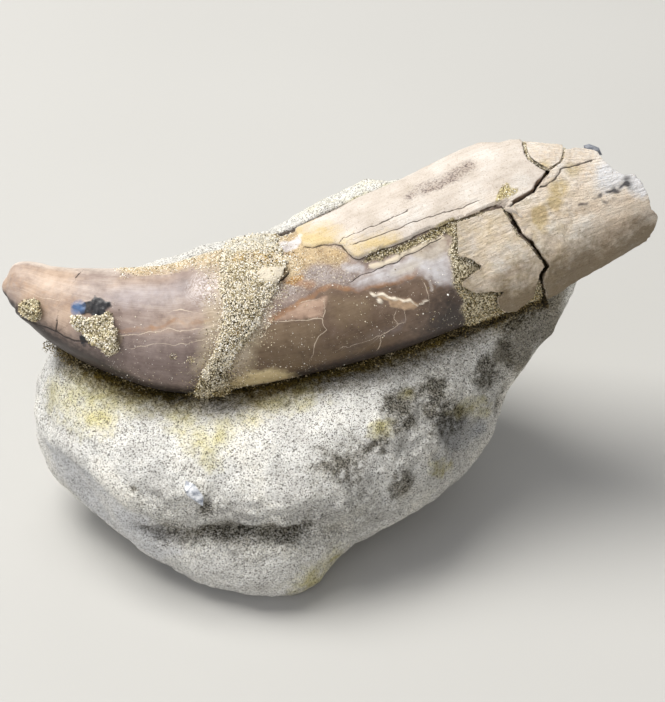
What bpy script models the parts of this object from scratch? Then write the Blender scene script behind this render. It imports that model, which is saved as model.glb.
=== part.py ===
"""Fossil sea lion tooth, still lying in the block of fine sandstone it was found in.

The block stands on a flat patch of its underside, on z = 0. The long curved tooth lies in a bed on the
block's upper front. The bed leans back, so everything that belongs to the tooth is drawn flat in the bed's
own frame (X along the tooth, Y across it, Z out of the rock) and set in place by one empty.

All tables are in millimetres.
"""

import math

import bmesh
import bpy
from mathutils import Vector, noise

MM = 0.001

# The frame of the bed, in the world
BED_LEAN = math.radians(52.0)
BED_ORIGIN = (0.0, 0.0, 36.0)

# Clearances and layers
SEAT_GAP = 0.3
BARK = 0.9
SAND_CRUST = 1.3
CLUMP_HEIGHT = 1.5

# Heights in the bed's frame between which the flat outlines cut
WHOLE_TOOTH = (-30.0, 30.0)
FRONT_OF_TOOTH = (0.0, 20.0)
SHEET_HEIGHTS = (-1.5, 20.0)
BACK_HEIGHTS = (-20.0, -3.0)
BAND_HEIGHTS = (-5.0, 20.0)
SNUG_HEIGHTS = (-2.7, 20.0)

# Mesh density
ROCK_STATIONS = 64
ROCK_RING = 56
ROCK_VOXEL = 1.25
ROCK_KEEP = 0.19
TOOTH_RING = 26
TOOTH_STATIONS = 44
TIP_CROWDING = 1.35
ROOM_RING = 44
ROOM_STATIONS = 60
ROOT_ROOM_STATIONS = 30

# Centreline of the tooth in the bed's frame: x, y, height z, half the width, half the thickness
TOOTH_LINE = [
    (-52.2, 10.3, -1.2, 1.7, 1.4),
    (-51.5, 10.3, -1.2, 3.1, 2.6),
    (-50.2, 10.3, -1.1, 4.1, 3.5),
    (-48.5, 9.8, -1.0, 4.6, 3.9),
    (-46.8, 9.0, -0.8, 5.0, 4.4),
    (-42.0, 7.0, -0.4, 6.6, 5.6),
    (-34.5, 5.0, 0.0, 8.5, 7.0),
    (-24.7, 3.8, 0.0, 10.4, 8.3),
    (-15.1, 5.4, 0.0, 11.2, 8.9),
    (-5.5, 7.4, 0.0, 11.2, 9.1),
    (5.2, 11.1, 0.0, 12.0, 9.4),
    (16.1, 15.3, 0.0, 12.3, 9.5),
    (27.3, 20.2, -0.4, 12.8, 9.3),
    (33.5, 22.3, -0.8, 12.2, 8.8),
    (40.2, 23.7, -1.2, 9.9, 7.8),
    (46.6, 25.6, -1.6, 8.1, 6.8),
    (54.0, 28.2, -2.0, 6.8, 5.8),
]

# The bark, or cementum, still on the root: its outline as seen from straight above the bed
SHEET_OUTLINE = [
    (-6.5, 19.5), (-5.4, 18.2), (-4.6, 16.5), (-3.8, 15.8), (-2.1, 16.5), (0.5, 16.8), (1.6, 16.5),
    (2.1, 15.5), (3.5, 14.6), (4.6, 14.4), (8.6, 15.5), (12.3, 17.6), (17.0, 19.4), (23.0, 21.5),
    (26.6, 22.6), (41.0, 24.0), (41.0, 39.0), (12.0, 39.0), (-6.5, 24.0),
]
BACK_OUTLINE = [
    (1.0, -6.0), (-1.2, 4.0), (1.5, 10.0), (-2.5, 17.0), (3.0, 26.0), (12.0, 40.0), (42.0, 40.0),
    (42.0, -6.0),
]
PLATE_OUTLINE = [
    (19.5, 19.9), (19.5, 15.5), (19.8, 14.7), (21.7, 14.3), (23.3, 13.2), (23.0, 12.6), (20.4, 10.8),
    (20.2, 10.1), (23.0, 9.1), (25.4, 9.5), (27.1, 9.4), (26.0, 8.2), (26.4, 6.8), (27.3, 6.3),
    (29.1, 6.4), (31.8, 8.6), (32.3, 11.1), (32.5, 12.4), (33.2, 13.2), (31.6, 15.2), (30.0, 17.2),
    (28.7, 17.9), (27.1, 21.0), (26.3, 22.2), (23.1, 21.2),
]

# The open crack across the root, from the upper edge to the lower, and the outline of the broken end
CRACK = [
    (29.6, 38.0), (29.9, 32.8), (30.2, 31.2), (30.7, 29.9), (32.6, 28.6), (33.5, 28.2), (31.8, 26.4),
    (31.3, 25.4), (26.5, 22.6), (27.3, 21.1), (28.9, 17.9), (30.2, 17.1), (31.8, 15.1), (33.3, 13.2),
    (32.6, 12.4), (32.3, 10.8), (33.1, 10.0), (34.4, 5.0),
]
# The far side of the open crack, which is the broken end's own edge, from its lower end to its upper
END_EDGE = [
    (34.9, 4.0), (34.6, 7.0), (33.9, 9.8), (33.1, 10.9), (33.4, 12.2), (34.2, 13.2), (32.7, 15.3), (31.1, 17.4),
    (29.6, 18.3), (28.1, 21.2), (27.5, 22.3), (31.8, 24.9), (32.3, 26.0), (34.0, 27.9), (33.1, 28.3),
    (31.2, 29.6), (30.7, 30.9), (30.4, 32.5),
]
BROKEN_END = [
    (46.0, 8.0), (49.4, 16.0), (51.3, 19.8), (51.5, 21.5), (50.3, 22.4), (49.7, 24.5), (48.7, 26.6),
    (47.5, 27.8), (45.6, 27.7), (43.7, 29.0), (42.4, 30.5), (42.0, 31.3), (41.2, 31.7), (39.2, 32.0),
    (37.1, 31.8), (35.1, 31.9), (33.3, 32.7), (31.1, 33.0), (29.5, 33.0),
]
BROKEN_TOP = [(20.0, 37.0), (23.3, 33.3), (26.5, 33.0), (28.2, 33.6), (31.5, 33.4), (40.0, 33.0),
              (40.0, 46.0), (20.0, 46.0)]
# The chip that has come away beside the crack: its edges towards the tooth and towards the broken end, what
# is missing above it, and the room left for it there, to which its right edge is added
CHIP_LEFT = [(30.4, 40.0), (30.6, 33.0), (30.8, 31.4), (31.3, 30.2), (33.0, 29.1)]
CHIP_RIGHT = [(33.9, 28.6), (35.8, 29.9), (36.2, 30.9), (36.4, 32.0), (36.0, 40.0)]
CHIP_TOP = [(28.0, 33.2), (40.0, 32.2), (40.0, 50.0), (28.0, 50.0)]
CHIP_ROOM = [(28.0, 40.0), (28.0, 27.7), (34.0, 27.7)]

# Where the bark's room in the rock begins, and where rock stays snug against the bare front of the tooth
ROOT_ROOM_START = -9.0
SNUG_OUTLINE = [(-14.0, -14.0), (18.4, -14.0), (18.4, 12.0), (-14.0, 2.0)]

# Sand left standing on the tooth: one band that still joins the rock, and two loose clumps
BAND_OUTLINE = [
    (-17.2, 21.0), (-17.5, 12.4), (-16.9, 6.6), (-17.4, 2.0), (-18.3, -0.9), (-20.2, -4.2), (-22.5, -9.0),
    (-16.0, -9.0), (-17.0, -3.1), (-15.6, -0.8), (-13.4, 2.0), (-11.8, 4.1), (-10.9, 7.1), (-8.7, 10.2),
    (-6.5, 14.0), (-7.5, 16.3), (-8.0, 22.0),
]
TIP_CLUMP = [
    (-49.1, 7.6), (-48.2, 8.2), (-46.6, 7.8), (-46.1, 6.6), (-46.6, 5.4), (-47.7, 4.9), (-48.5, 5.7),
    (-49.4, 6.8),
]
SIDE_CLUMP = [
    (-41.1, 5.5), (-39.8, 5.5), (-38.6, 4.7), (-37.5, 4.9), (-36.1, 5.5), (-35.4, 6.0), (-34.3, 5.2),
    (-34.2, 3.3), (-33.7, 0.6), (-33.8, -0.3), (-35.1, -0.5), (-36.7, 0.6), (-38.1, 1.7), (-39.2, 2.7),
    (-40.6, 3.9),
]

# The lines of the rock, each from its left end to its right: x, y, z in the world. In order they go round
# the block from the floor at the front, over the top and down the back.
ROCK_LINES = {
    "toe": [
        (-49.2, 4.0, 19.5), (-48.0, 1.0, 11.4), (-46.2, -0.2, 8.8), (-43.0, -3.6, 8.0), (-36.5, -9.3, 5.8),
        (-29.6, -12.6, 3.2), (-20.0, -16.0, 0.6), (-8.0, -18.2, -0.4), (-2.0, -15.4, 0.2), (1.2, -11.4, 2.0),
        (7.0, -8.8, 4.2), (12.0, -6.9, 6.0), (18.5, -2.8, 7.8), (24.6, 1.8, 12.0), (27.6, 4.0, 17.0),
        (28.8, 5.5, 22.0), (32.3, 8.5, 27.5), (36.4, 11.5, 31.5), (39.2, 15.0, 36.0),
    ],
    "nose": [
        (-49.2, 2.2, 21.0), (-46.8, -2.6, 20.0), (-44.5, -6.5, 19.0), (-38.0, -12.5, 16.5), (-30.0, -18.0, 14.0),
        (-20.0, -22.0, 13.0), (-8.0, -23.5, 14.0), (3.0, -18.5, 17.0), (12.0, -13.5, 19.0),
        (19.6, -7.5, 21.5), (26.7, 0.5, 26.0), (32.4, 6.0, 32.0), (39.2, 13.5, 37.0),
    ],
    "brow": [
        (-49.2, 2.4, 23.5), (-46.6, -1.5, 25.5), (-44.0, -5.0, 27.0), (-38.0, -9.6, 28.0), (-30.0, -13.0, 28.0),
        (-20.0, -15.0, 28.0), (-8.0, -14.5, 28.5), (3.0, -12.0, 29.5), (12.0, -8.5, 30.5),
        (19.6, -4.0, 32.0), (26.4, 2.0, 34.5), (32.4, 7.2, 37.0), (39.2, 12.5, 39.0),
    ],
    "bed": [
        (-49.2, 3.6, 24.8), (-46.8, 2.4, 27.8), (-44.4, 2.4, 32.6), (-42.0, 2.4, 35.0), (-39.0, 1.4, 35.0),
        (-33.0, -0.2, 32.7), (-25.0, -1.6, 31.1), (-15.0, -1.2, 31.6), (-2.0, 0.5, 33.7), (10.0, 2.6, 36.2),
        (21.0, 5.0, 39.3), (32.6, 8.0, 43.0), (39.2, 11.0, 41.0),
    ],
    "lip": [
        (-49.2, 5.5, 25.2), (-46.8, 5.4, 29.0), (-44.0, 5.9, 34.5), (-40.0, 6.6, 37.5), (-34.0, 7.6, 40.5),
        (-25.0, 9.0, 43.6), (-17.0, 10.5, 46.2), (-9.0, 11.8, 47.8), (2.0, 14.8, 51.7), (11.0, 17.0, 54.0),
        (17.0, 17.0, 54.0), (24.0, 15.2, 52.1), (33.6, 11.5, 47.0), (39.2, 11.5, 42.5),
    ],
    "crest": [
        (-49.2, 7.5, 25.0), (-46.5, 9.0, 30.0), (-44.0, 10.0, 35.0), (-39.0, 11.0, 40.0), (-34.0, 12.0, 42.8),
        (-25.0, 13.2, 44.7), (-20.5, 14.5, 46.3), (-14.4, 15.1, 47.1), (-9.5, 16.8, 49.2), (-5.6, 18.1, 51.1),
        (-0.2, 19.5, 52.9), (5.0, 20.8, 54.3), (11.5, 21.2, 55.0), (17.0, 19.9, 53.8), (24.0, 18.0, 50.8),
        (33.6, 15.4, 46.0), (39.2, 13.8, 42.0),
    ],
    "back": [
        (-49.2, 9.0, 23.4), (-44.0, 16.5, 29.5), (-34.0, 22.0, 33.8), (-20.0, 26.5, 36.0),
        (-8.0, 29.5, 39.5), (5.0, 31.5, 43.5), (15.0, 31.5, 44.0), (27.5, 28.0, 42.0), (35.4, 22.5, 39.8),
        (39.2, 17.6, 39.0),
    ],
    "rump": [
        (-49.2, 9.0, 21.0), (-44.0, 20.5, 19.0), (-34.0, 29.0, 19.0), (-20.0, 35.5, 18.5),
        (-8.0, 39.0, 19.5), (5.0, 40.5, 21.0), (15.0, 38.0, 24.0), (27.5, 31.0, 29.0), (35.4, 24.0, 34.0),
        (39.2, 18.2, 37.0),
    ],
    "heel": [
        (-49.2, 7.0, 19.5), (-45.0, 14.0, 10.0), (-36.0, 22.5, 3.8), (-28.0, 28.0, 0.3), (-20.0, 31.0, -0.6),
        (-8.0, 33.0, -0.8), (5.0, 32.0, -0.6), (13.0, 27.0, 2.0), (19.6, 24.0, 8.0), (26.4, 21.5, 16.5),
        (32.4, 19.5, 25.5), (36.4, 19.0, 31.0), (39.2, 17.0, 35.5),
    ],
}

# Hollows worn or broken into the rock: points along the hollow, its radius, its depth
ROCK_HOLLOWS = [
    ([(-25.0, -19.5, 14.0), (-16.0, -21.5, 15.0), (-6.0, -21.5, 14.5), (1.0, -18.0, 13.0)], 3.4, 2.6),
    ([(34.5, 9.0, 39.0), (29.0, 4.5, 33.5), (25.5, 1.0, 28.0)], 1.6, 1.5),
    ([(15.5, -8.5, 30.0), (19.0, -5.5, 28.0)], 2.6, 1.3),
    ([(20.0, -6.0, 24.5), (22.0, -4.0, 20.0)], 3.0, 1.2),
    ([(-44.0, -7.5, 18.0), (-38.0, -12.5, 11.0)], 2.4, 1.0),
    ([(-30.0, 34.0, 24.0), (-12.0, 38.5, 26.0), (8.0, 39.5, 24.0)], 4.0, 1.8),
    ([(-20.0, 22.0, 43.0), (2.0, 29.5, 47.0)], 3.0, 1.0),
]
# Noise over the rock: size of one lump, height
ROCK_LUMPS = [(16.0, 0.9), (6.5, 0.45), (3.0, 0.22)]

MATERIALS = {
    "sandstone": ((0.60, 0.58, 0.52, 1.0), 0.95),
    "dentine": ((0.30, 0.20, 0.15, 1.0), 0.30),
    "cementum": ((0.62, 0.50, 0.38, 1.0), 0.70),
    "crust": ((0.46, 0.38, 0.22, 1.0), 0.95),
}


def clear_scene():
    for obj in list(bpy.data.objects):
        bpy.data.objects.remove(obj, do_unlink=True)


def collection(name):
    made = bpy.data.collections.new(name)
    bpy.context.scene.collection.children.link(made)
    return made


def material(name):
    colour, roughness = MATERIALS[name]
    made = bpy.data.materials.new(name)
    made.use_nodes = True
    shader = made.node_tree.nodes["Principled BSDF"]
    shader.inputs["Base Color"].default_value = colour
    shader.inputs["Roughness"].default_value = roughness
    shader.inputs["Metallic"].default_value = 0.0
    made.diffuse_color = colour
    return made


def smooth_at(knots, t):
    """The values at t on the smooth curve through knots, which are rows of (t, value, value ...)."""
    t = min(max(t, knots[0][0]), knots[-1][0])
    i = next(k for k in range(len(knots) - 1) if t <= knots[k + 1][0])
    before, low, high, after = knots[max(i - 1, 0)], knots[i], knots[i + 1], knots[min(i + 2, len(knots) - 1)]
    span = high[0] - low[0]
    u = (t - low[0]) / span
    values = []
    for k in range(1, len(low)):
        slope_low = (high[k] - before[k]) / (high[0] - before[0])
        slope_high = (after[k] - low[k]) / (after[0] - low[0])
        values.append(
            (2 * u**3 - 3 * u**2 + 1) * low[k]
            + (u**3 - 2 * u**2 + u) * span * slope_low
            + (3 * u**2 - 2 * u**3) * high[k]
            + (u**3 - u**2) * span * slope_high
        )
    return values


def with_length(rows):
    """Rows of coordinates, each headed by how far along the path it lies."""
    knots = [(0.0, *rows[0])]
    for before, row in zip(rows, rows[1:]):
        knots.append((knots[-1][0] + math.dist(before[:2], row[:2]), *row))
    return knots


def closed_loop(points, count):
    """count points on the smooth closed curve through points."""
    wrapped = [points[-2], points[-1], *points, points[0], points[1], points[2]]
    knots = with_length(wrapped)
    start, end = knots[2][0], knots[2 + len(points)][0]
    return [smooth_at(knots, start + (end - start) * i / count) for i in range(count)]


def loft(name, rings, cap_rounding=0.0):
    """A closed mesh through rings of equal length, in millimetres. Each end is closed by a fan, whose middle
    stands out by cap_rounding."""
    mesh = bmesh.new()
    rows = [[mesh.verts.new(Vector(point) * MM) for point in ring] for ring in rings]
    count = len(rings[0])
    for low, high in zip(rows, rows[1:]):
        for i in range(count):
            j = (i + 1) % count
            mesh.faces.new((low[i], low[j], high[j], high[i]))
    for row, inner in ((rows[0], rows[1]), (rows[-1], rows[-2])):
        middle = sum((v.co for v in row), Vector()) / count
        inner_middle = sum((v.co for v in inner), Vector()) / count
        outward = (middle - inner_middle).normalized()
        tip = mesh.verts.new(middle + outward * cap_rounding * MM)
        for i in range(count):
            mesh.faces.new((row[i], row[(i + 1) % count], tip))
    bmesh.ops.recalc_face_normals(mesh, faces=mesh.faces)
    data = bpy.data.meshes.new(name)
    mesh.to_mesh(data)
    mesh.free()
    return bpy.data.objects.new(name, data)


def tooth_loft(name, grown, ring=TOOTH_RING, stations=TOOTH_STATIONS, first_x=None):
    """The tooth's oval, tapering body, grown by that many millimetres all round, in the bed's frame."""
    knots = with_length(TOOTH_LINE)
    length = knots[-1][0]
    rings = []
    for s in range(stations + 1):
        along = length * (s / stations) ** TIP_CROWDING
        x, y, z, half_width, half_thickness = smooth_at(knots, along)
        if first_x is not None and x < first_x:
            continue
        ahead = smooth_at(knots, min(along + 0.5, length))
        behind = smooth_at(knots, max(along - 0.5, 0.0))
        forward = Vector((ahead[0] - behind[0], ahead[1] - behind[1], 0.0)).normalized()
        across = Vector((-forward.y, forward.x, 0.0))
        points = []
        for i in range(ring):
            angle = 2 * math.pi * i / ring
            offset = across * math.cos(angle) * (half_width + grown)
            points.append(
                Vector((x, y, z)) + offset + Vector((0, 0, math.sin(angle) * (half_thickness + grown)))
            )
        rings.append(points)
    return loft(name, rings, cap_rounding=0.8 + grown)


def prism(name, outline, heights):
    """A flat outline in the bed's frame, extruded between two heights."""
    low, high = heights
    curve = bpy.data.curves.new(name, "CURVE")
    curve.dimensions = "2D"
    curve.fill_mode = "BOTH"
    curve.extrude = (high - low) / 2 * MM
    spline = curve.splines.new("POLY")
    spline.points.add(len(outline) - 1)
    for point, (x, y) in zip(spline.points, outline):
        point.co = (x * MM, y * MM, 0.0, 1.0)
    spline.use_cyclic_u = True
    obj = bpy.data.objects.new(name, curve)
    obj.location.z = (low + high) / 2 * MM
    return obj


class Workshop:
    """The two collections, the bed's empty, and the steps that turn drawn shapes into solids."""

    def __init__(self):
        self.parts = collection("fossil_tooth_in_matrix")
        self.cutters = collection("cutters")
        self.bed = bpy.data.objects.new("bed", None)
        self.parts.objects.link(self.bed)
        self.bed.location = Vector(BED_ORIGIN) * MM
        self.bed.rotation_euler = (BED_LEAN, 0.0, 0.0)
        self.materials = {name: material(name) for name in MATERIALS}

    def add(self, obj, in_bed=True):
        self.cutters.objects.link(obj)
        if in_bed:
            obj.parent = self.bed
        return obj

    def solid(self, obj):
        """obj as a mesh in the world, with its modifiers applied and its own caps welded; obj itself goes."""
        bpy.context.view_layer.update()
        graph = bpy.context.evaluated_depsgraph_get()
        evaluated = obj.evaluated_get(graph)
        data = bpy.data.meshes.new_from_object(evaluated)
        data.transform(evaluated.matrix_world)
        work = bmesh.new()
        work.from_mesh(data)
        bmesh.ops.remove_doubles(work, verts=work.verts, dist=1e-6)
        bmesh.ops.recalc_face_normals(work, faces=work.faces)
        work.to_mesh(data)
        work.free()
        name = obj.name
        bpy.data.objects.remove(obj, do_unlink=True)
        made = bpy.data.objects.new(name, data)
        self.cutters.objects.link(made)
        return made

    def combine(self, name, first, *steps):
        """first, joined or cut by each (operation, object) in turn, as a new mesh."""
        target = bpy.data.objects.new(name, first.data.copy())
        self.cutters.objects.link(target)
        for operation, other in steps:
            boolean = target.modifiers.new(operation.lower(), "BOOLEAN")
            boolean.operation = operation
            boolean.object = other
            boolean.solver = "EXACT"
        return self.solid(target)

    def finish(self, obj, name, slot):
        """obj becomes a part of the object."""
        self.cutters.objects.unlink(obj)
        self.parts.objects.link(obj)
        obj.name = name
        obj.data.name = name
        obj.data.materials.clear()
        obj.data.materials.append(self.materials[slot])
        obj.data.shade_smooth()
        obj.data.set_sharp_from_angle(angle=math.radians(35))
        return obj

    def put_away(self):
        """Leaves the helpers out of the render."""
        for obj in self.cutters.objects:
            obj.hide_render = True
            obj.display_type = "WIRE"
        self.cutters.hide_render = True


def distance_to_path(point, path):
    """How far point is from the polyline path."""
    nearest = math.inf
    for start, end in zip(path, path[1:]):
        span = end - start
        share = max(0.0, min(1.0, (point - start).dot(span) / span.length_squared))
        nearest = min(nearest, (point - start - span * share).length)
    return nearest


def rock_block(shop):
    """The block before the tooth's bed is cut: a loft through the rock's lines, roughened, with a flat base."""
    first, last = ROCK_LINES["toe"][0][0], ROCK_LINES["toe"][-1][0]
    rings = []
    for s in range(ROCK_STATIONS + 1):
        # Stations lie closer together towards the ends, where the block rounds off
        x = first + (last - first) * (1 - math.cos(math.pi * s / ROCK_STATIONS)) / 2
        corners = [smooth_at(line, x) for line in ROCK_LINES.values()]
        rings.append([(x, y, z) for y, z in closed_loop(corners, ROCK_RING)])
    block = shop.add(loft("rock_block", rings, cap_rounding=0.6), in_bed=False)
    even = block.modifiers.new("even", "REMESH")
    even.mode = "VOXEL"
    even.voxel_size = ROCK_VOXEL * MM
    block = shop.solid(block)
    roughen(block.data)
    thin = block.modifiers.new("thin", "DECIMATE")
    thin.ratio = ROCK_KEEP
    return shop.solid(block)


def roughen(data):
    """Moves each point of the rock along its normal: lumps out or in, and the hollows in."""
    hollows = [([Vector(p) for p in path], radius, depth) for path, radius, depth in ROCK_HOLLOWS]
    normals = [v.normal.copy() for v in data.vertices]
    for vertex, normal in zip(data.vertices, normals):
        place = vertex.co / MM
        push = sum(height * noise.noise(place / size) for size, height in ROCK_LUMPS)
        for path, radius, depth in hollows:
            away = distance_to_path(place, path)
            push -= depth * math.exp(-((away / radius) ** 2))
        vertex.co += normal * push * MM


def below_floor(shop):
    """A slab whose top face is the floor."""
    bpy.ops.mesh.primitive_cube_add(size=1.0, location=(0.0, 0.0, -0.010))
    slab = bpy.context.object
    slab.name = "below_floor"
    slab.scale = (0.2, 0.2, 0.020)
    for owner in list(slab.users_collection):
        owner.objects.unlink(slab)
    return shop.solid(shop.add(slab, in_bed=False))


def shifted(outline, offset):
    return [(x + offset[0], y + offset[1]) for x, y in outline]


def make_tooth(shop):
    """The tooth, the end broken off its root, the chip beside the crack and the loose plate of bark."""
    core = shop.solid(shop.add(tooth_loft("core", 0.0)))
    barked = shop.solid(shop.add(tooth_loft("barked", BARK)))
    sheet_prism = shop.solid(shop.add(prism("sheet_prism", SHEET_OUTLINE, SHEET_HEIGHTS)))
    back_prism = shop.solid(shop.add(prism("back_prism", BACK_OUTLINE, BACK_HEIGHTS)))
    bark_left = shop.combine("bark_left", back_prism, ("UNION", sheet_prism))
    bark = shop.combine("bark", barked, ("INTERSECT", bark_left))

    beyond_crack = CRACK + [(44.0, -10.0), (70.0, -10.0), (70.0, 50.0), (29.6, 50.0)]
    cut_off = shop.solid(shop.add(prism("cut_off", beyond_crack, WHOLE_TOOTH)))
    top = shop.solid(shop.add(prism("top", BROKEN_TOP, WHOLE_TOOTH)))
    tooth = shop.combine(
        "tooth_solid", core, ("UNION", bark), ("DIFFERENCE", cut_off), ("DIFFERENCE", top)
    )
    shop.finish(tooth, "tooth", "dentine")

    end_prism = shop.solid(shop.add(prism("end_prism", END_EDGE + BROKEN_END[::-1], WHOLE_TOOTH)))
    chip_room = CHIP_ROOM + shifted(CHIP_RIGHT, (SEAT_GAP, -SEAT_GAP))
    chip_cut = shop.solid(shop.add(prism("chip_cut", chip_room, WHOLE_TOOTH)))
    end = shop.combine("end_solid", barked, ("INTERSECT", end_prism), ("DIFFERENCE", chip_cut))
    shop.finish(end, "root_end", "cementum")

    chip_prism = shop.solid(shop.add(prism("chip_prism", CHIP_LEFT + CHIP_RIGHT, WHOLE_TOOTH)))
    chip_top = shop.solid(shop.add(prism("chip_top", CHIP_TOP, WHOLE_TOOTH)))
    chip = shop.combine("chip_solid", barked, ("INTERSECT", chip_prism), ("DIFFERENCE", chip_top))
    shop.finish(chip, "cementum_chip", "cementum")

    plate_outer = shop.solid(shop.add(tooth_loft("plate_outer", SEAT_GAP + BARK)))
    plate_inner = shop.solid(shop.add(tooth_loft("plate_inner", SEAT_GAP)))
    plate_prism = shop.solid(shop.add(prism("plate_prism", PLATE_OUTLINE, FRONT_OF_TOOTH)))
    plate = shop.combine(
        "plate_solid", plate_outer, ("INTERSECT", plate_prism), ("DIFFERENCE", plate_inner)
    )
    shop.finish(plate, "cementum_plate", "cementum")


def make_clumps(shop):
    """The two clumps of sand that still stick to the crown."""
    inner = shop.solid(shop.add(tooth_loft("clump_inner", SEAT_GAP)))
    outer = shop.solid(shop.add(tooth_loft("clump_outer", SEAT_GAP + CLUMP_HEIGHT)))
    for name, outline in (("sand_clump_tip", TIP_CLUMP), ("sand_clump_side", SIDE_CLUMP)):
        column = shop.solid(shop.add(prism(name + "_prism", outline, FRONT_OF_TOOTH)))
        clump = shop.combine(name + "_solid", outer, ("INTERSECT", column), ("DIFFERENCE", inner))
        shop.finish(clump, name, "crust")


def make_rock(shop):
    """The block of sandstone, with the band of sand that still crosses the tooth and the tooth's bed cut."""
    block = rock_block(shop)
    band_shell = shop.solid(shop.add(tooth_loft("band_shell", SAND_CRUST + SEAT_GAP)))
    band_prism = shop.solid(shop.add(prism("band_prism", BAND_OUTLINE, BAND_HEIGHTS)))
    band = shop.combine("band", band_shell, ("INTERSECT", band_prism))
    room = shop.solid(shop.add(tooth_loft("room", SEAT_GAP, ROOM_RING, ROOM_STATIONS)))
    bark_room = tooth_loft("bark_room", BARK + 2 * SEAT_GAP, ROOM_RING, ROOT_ROOM_STATIONS, ROOT_ROOM_START)
    bark_room = shop.solid(shop.add(bark_room))
    snug = shop.solid(shop.add(prism("snug", SNUG_OUTLINE, SNUG_HEIGHTS)))
    root_room = shop.combine("root_room", bark_room, ("DIFFERENCE", snug))
    rock = shop.combine(
        "rock_solid",
        block,
        ("UNION", band),
        ("DIFFERENCE", room),
        ("DIFFERENCE", root_room),
        ("DIFFERENCE", below_floor(shop)),
    )
    shop.finish(rock, "matrix_rock", "sandstone")


def main():
    clear_scene()
    shop = Workshop()
    make_rock(shop)
    make_tooth(shop)
    make_clumps(shop)
    shop.put_away()


main()
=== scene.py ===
"""Dresses a fossil sea lion tooth that still lies in its block of fine sandstone.

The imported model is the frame. Each of its solids gets a detailed skin here: the block's grains and
hollows, the tooth's worn crown, bare dentine and bark with their cracks and stains, and the sand that
clings to them.

All tables are in millimetres. What belongs to the tooth is drawn in the bed's frame: X along the tooth,
Y across it, Z out of the rock. The last number that waver() and strayed() take only picks their pattern.
"""

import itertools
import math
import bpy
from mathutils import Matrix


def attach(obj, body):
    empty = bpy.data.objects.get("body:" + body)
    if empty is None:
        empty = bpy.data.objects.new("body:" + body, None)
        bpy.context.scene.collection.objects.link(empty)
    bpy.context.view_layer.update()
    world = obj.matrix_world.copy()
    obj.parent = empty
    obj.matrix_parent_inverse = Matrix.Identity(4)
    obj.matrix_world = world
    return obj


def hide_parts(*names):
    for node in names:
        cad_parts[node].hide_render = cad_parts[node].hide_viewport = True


bl_info = {
    "name": "Fossil Tooth in Sandstone",
    "version": (1, 0, 0),
    "blender": (4, 5, 0),
    "location": "3D View > Sidebar > Fossil",
    "description": "Dresses a fossil sea lion tooth, its bark, its loose sand and its sandstone block",
    "category": "Object",
}

import bmesh
import bpy
import numpy as np
from bpy.props import FloatProperty, FloatVectorProperty, IntProperty, PointerProperty
from bpy.types import NodeSocket, Operator, Panel, PropertyGroup
from mathutils import Vector

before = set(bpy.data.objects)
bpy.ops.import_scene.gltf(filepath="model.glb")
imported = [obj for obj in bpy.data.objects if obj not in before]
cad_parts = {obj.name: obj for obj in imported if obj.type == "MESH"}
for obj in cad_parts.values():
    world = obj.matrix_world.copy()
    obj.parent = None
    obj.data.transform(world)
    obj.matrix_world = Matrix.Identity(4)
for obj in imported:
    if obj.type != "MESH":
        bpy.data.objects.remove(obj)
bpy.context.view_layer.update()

MM = 0.001
BODY = "root"

# The frame of the bed, in the world
BED_LEAN = math.radians(52.0)
BED_ORIGIN = np.array((0.0, 0.0, 36.0))
# What is higher than the first in the bed is its front side, and what is lower than the second its back
FRONT_LOWEST = -1.5
BACK_HIGHEST = -3.0
# Below this height in the world, the block is its flat base
BASE_HEIGHT = 0.25
# Depth inside an outline that lies on the other side, offset from a line that does, and one out of reach
NOWHERE = -9.0
NO_LINE = 9.0
FAR_OFF = 99.0

# Thickness of the bark on the root, and of the gap that stays free round each loose piece
BARK = 0.9
SEAT_GAP = 0.3
# Width over which the bark's torn edge falls to the bare dentine
BARK_STEP = 0.22

# Centreline of the tooth in the bed's frame: x, y, height z, half the width, half the thickness
TOOTH_LINE = [
    (-52.2, 10.3, -1.2, 1.7, 1.4),
    (-51.5, 10.3, -1.2, 3.1, 2.6),
    (-50.2, 10.3, -1.1, 4.1, 3.5),
    (-48.5, 9.8, -1.0, 4.6, 3.9),
    (-46.8, 9.0, -0.8, 5.0, 4.4),
    (-42.0, 7.0, -0.4, 6.6, 5.6),
    (-34.5, 5.0, 0.0, 8.5, 7.0),
    (-24.7, 3.8, 0.0, 10.4, 8.3),
    (-15.1, 5.4, 0.0, 11.2, 8.9),
    (-5.5, 7.4, 0.0, 11.2, 9.1),
    (5.2, 11.1, 0.0, 12.0, 9.4),
    (16.1, 15.3, 0.0, 12.3, 9.5),
    (27.3, 20.2, -0.4, 12.8, 9.3),
    (33.5, 22.3, -0.8, 12.2, 8.8),
    (40.2, 23.7, -1.2, 9.9, 7.8),
    (46.6, 25.6, -1.6, 8.1, 6.8),
    (54.0, 28.2, -2.0, 6.8, 5.8),
]

# Where bark still covers the root, on its front and on its back
SHEET_OUTLINE = [
    (-6.0, 19.4), (-5.2, 18.0), (-4.6, 16.6), (-3.1, 16.2), (-1.5, 16.7), (0.4, 16.9), (1.6, 16.6),
    (1.9, 16.1), (2.5, 15.2), (3.3, 14.5), (4.1, 14.3), (5.1, 14.7), (6.3, 15.2), (7.4, 15.7),
    (9.1, 16.2), (10.4, 16.8), (12.3, 17.5), (13.8, 18.4), (15.4, 18.9), (17.0, 19.5), (18.7, 20.2),
    (20.6, 20.8), (22.7, 21.7), (24.4, 22.5), (26.2, 22.9), (27.4, 21.4), (42.0, 24.0), (42.0, 40.0),
    (12.0, 40.0), (-6.0, 24.0),
]
BACK_OUTLINE = [
    (1.0, -6.0), (-1.2, 4.0), (1.5, 10.0), (-2.5, 17.0), (3.0, 26.0), (12.0, 40.0), (42.0, 40.0),
    (42.0, -6.0),
]
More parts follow.
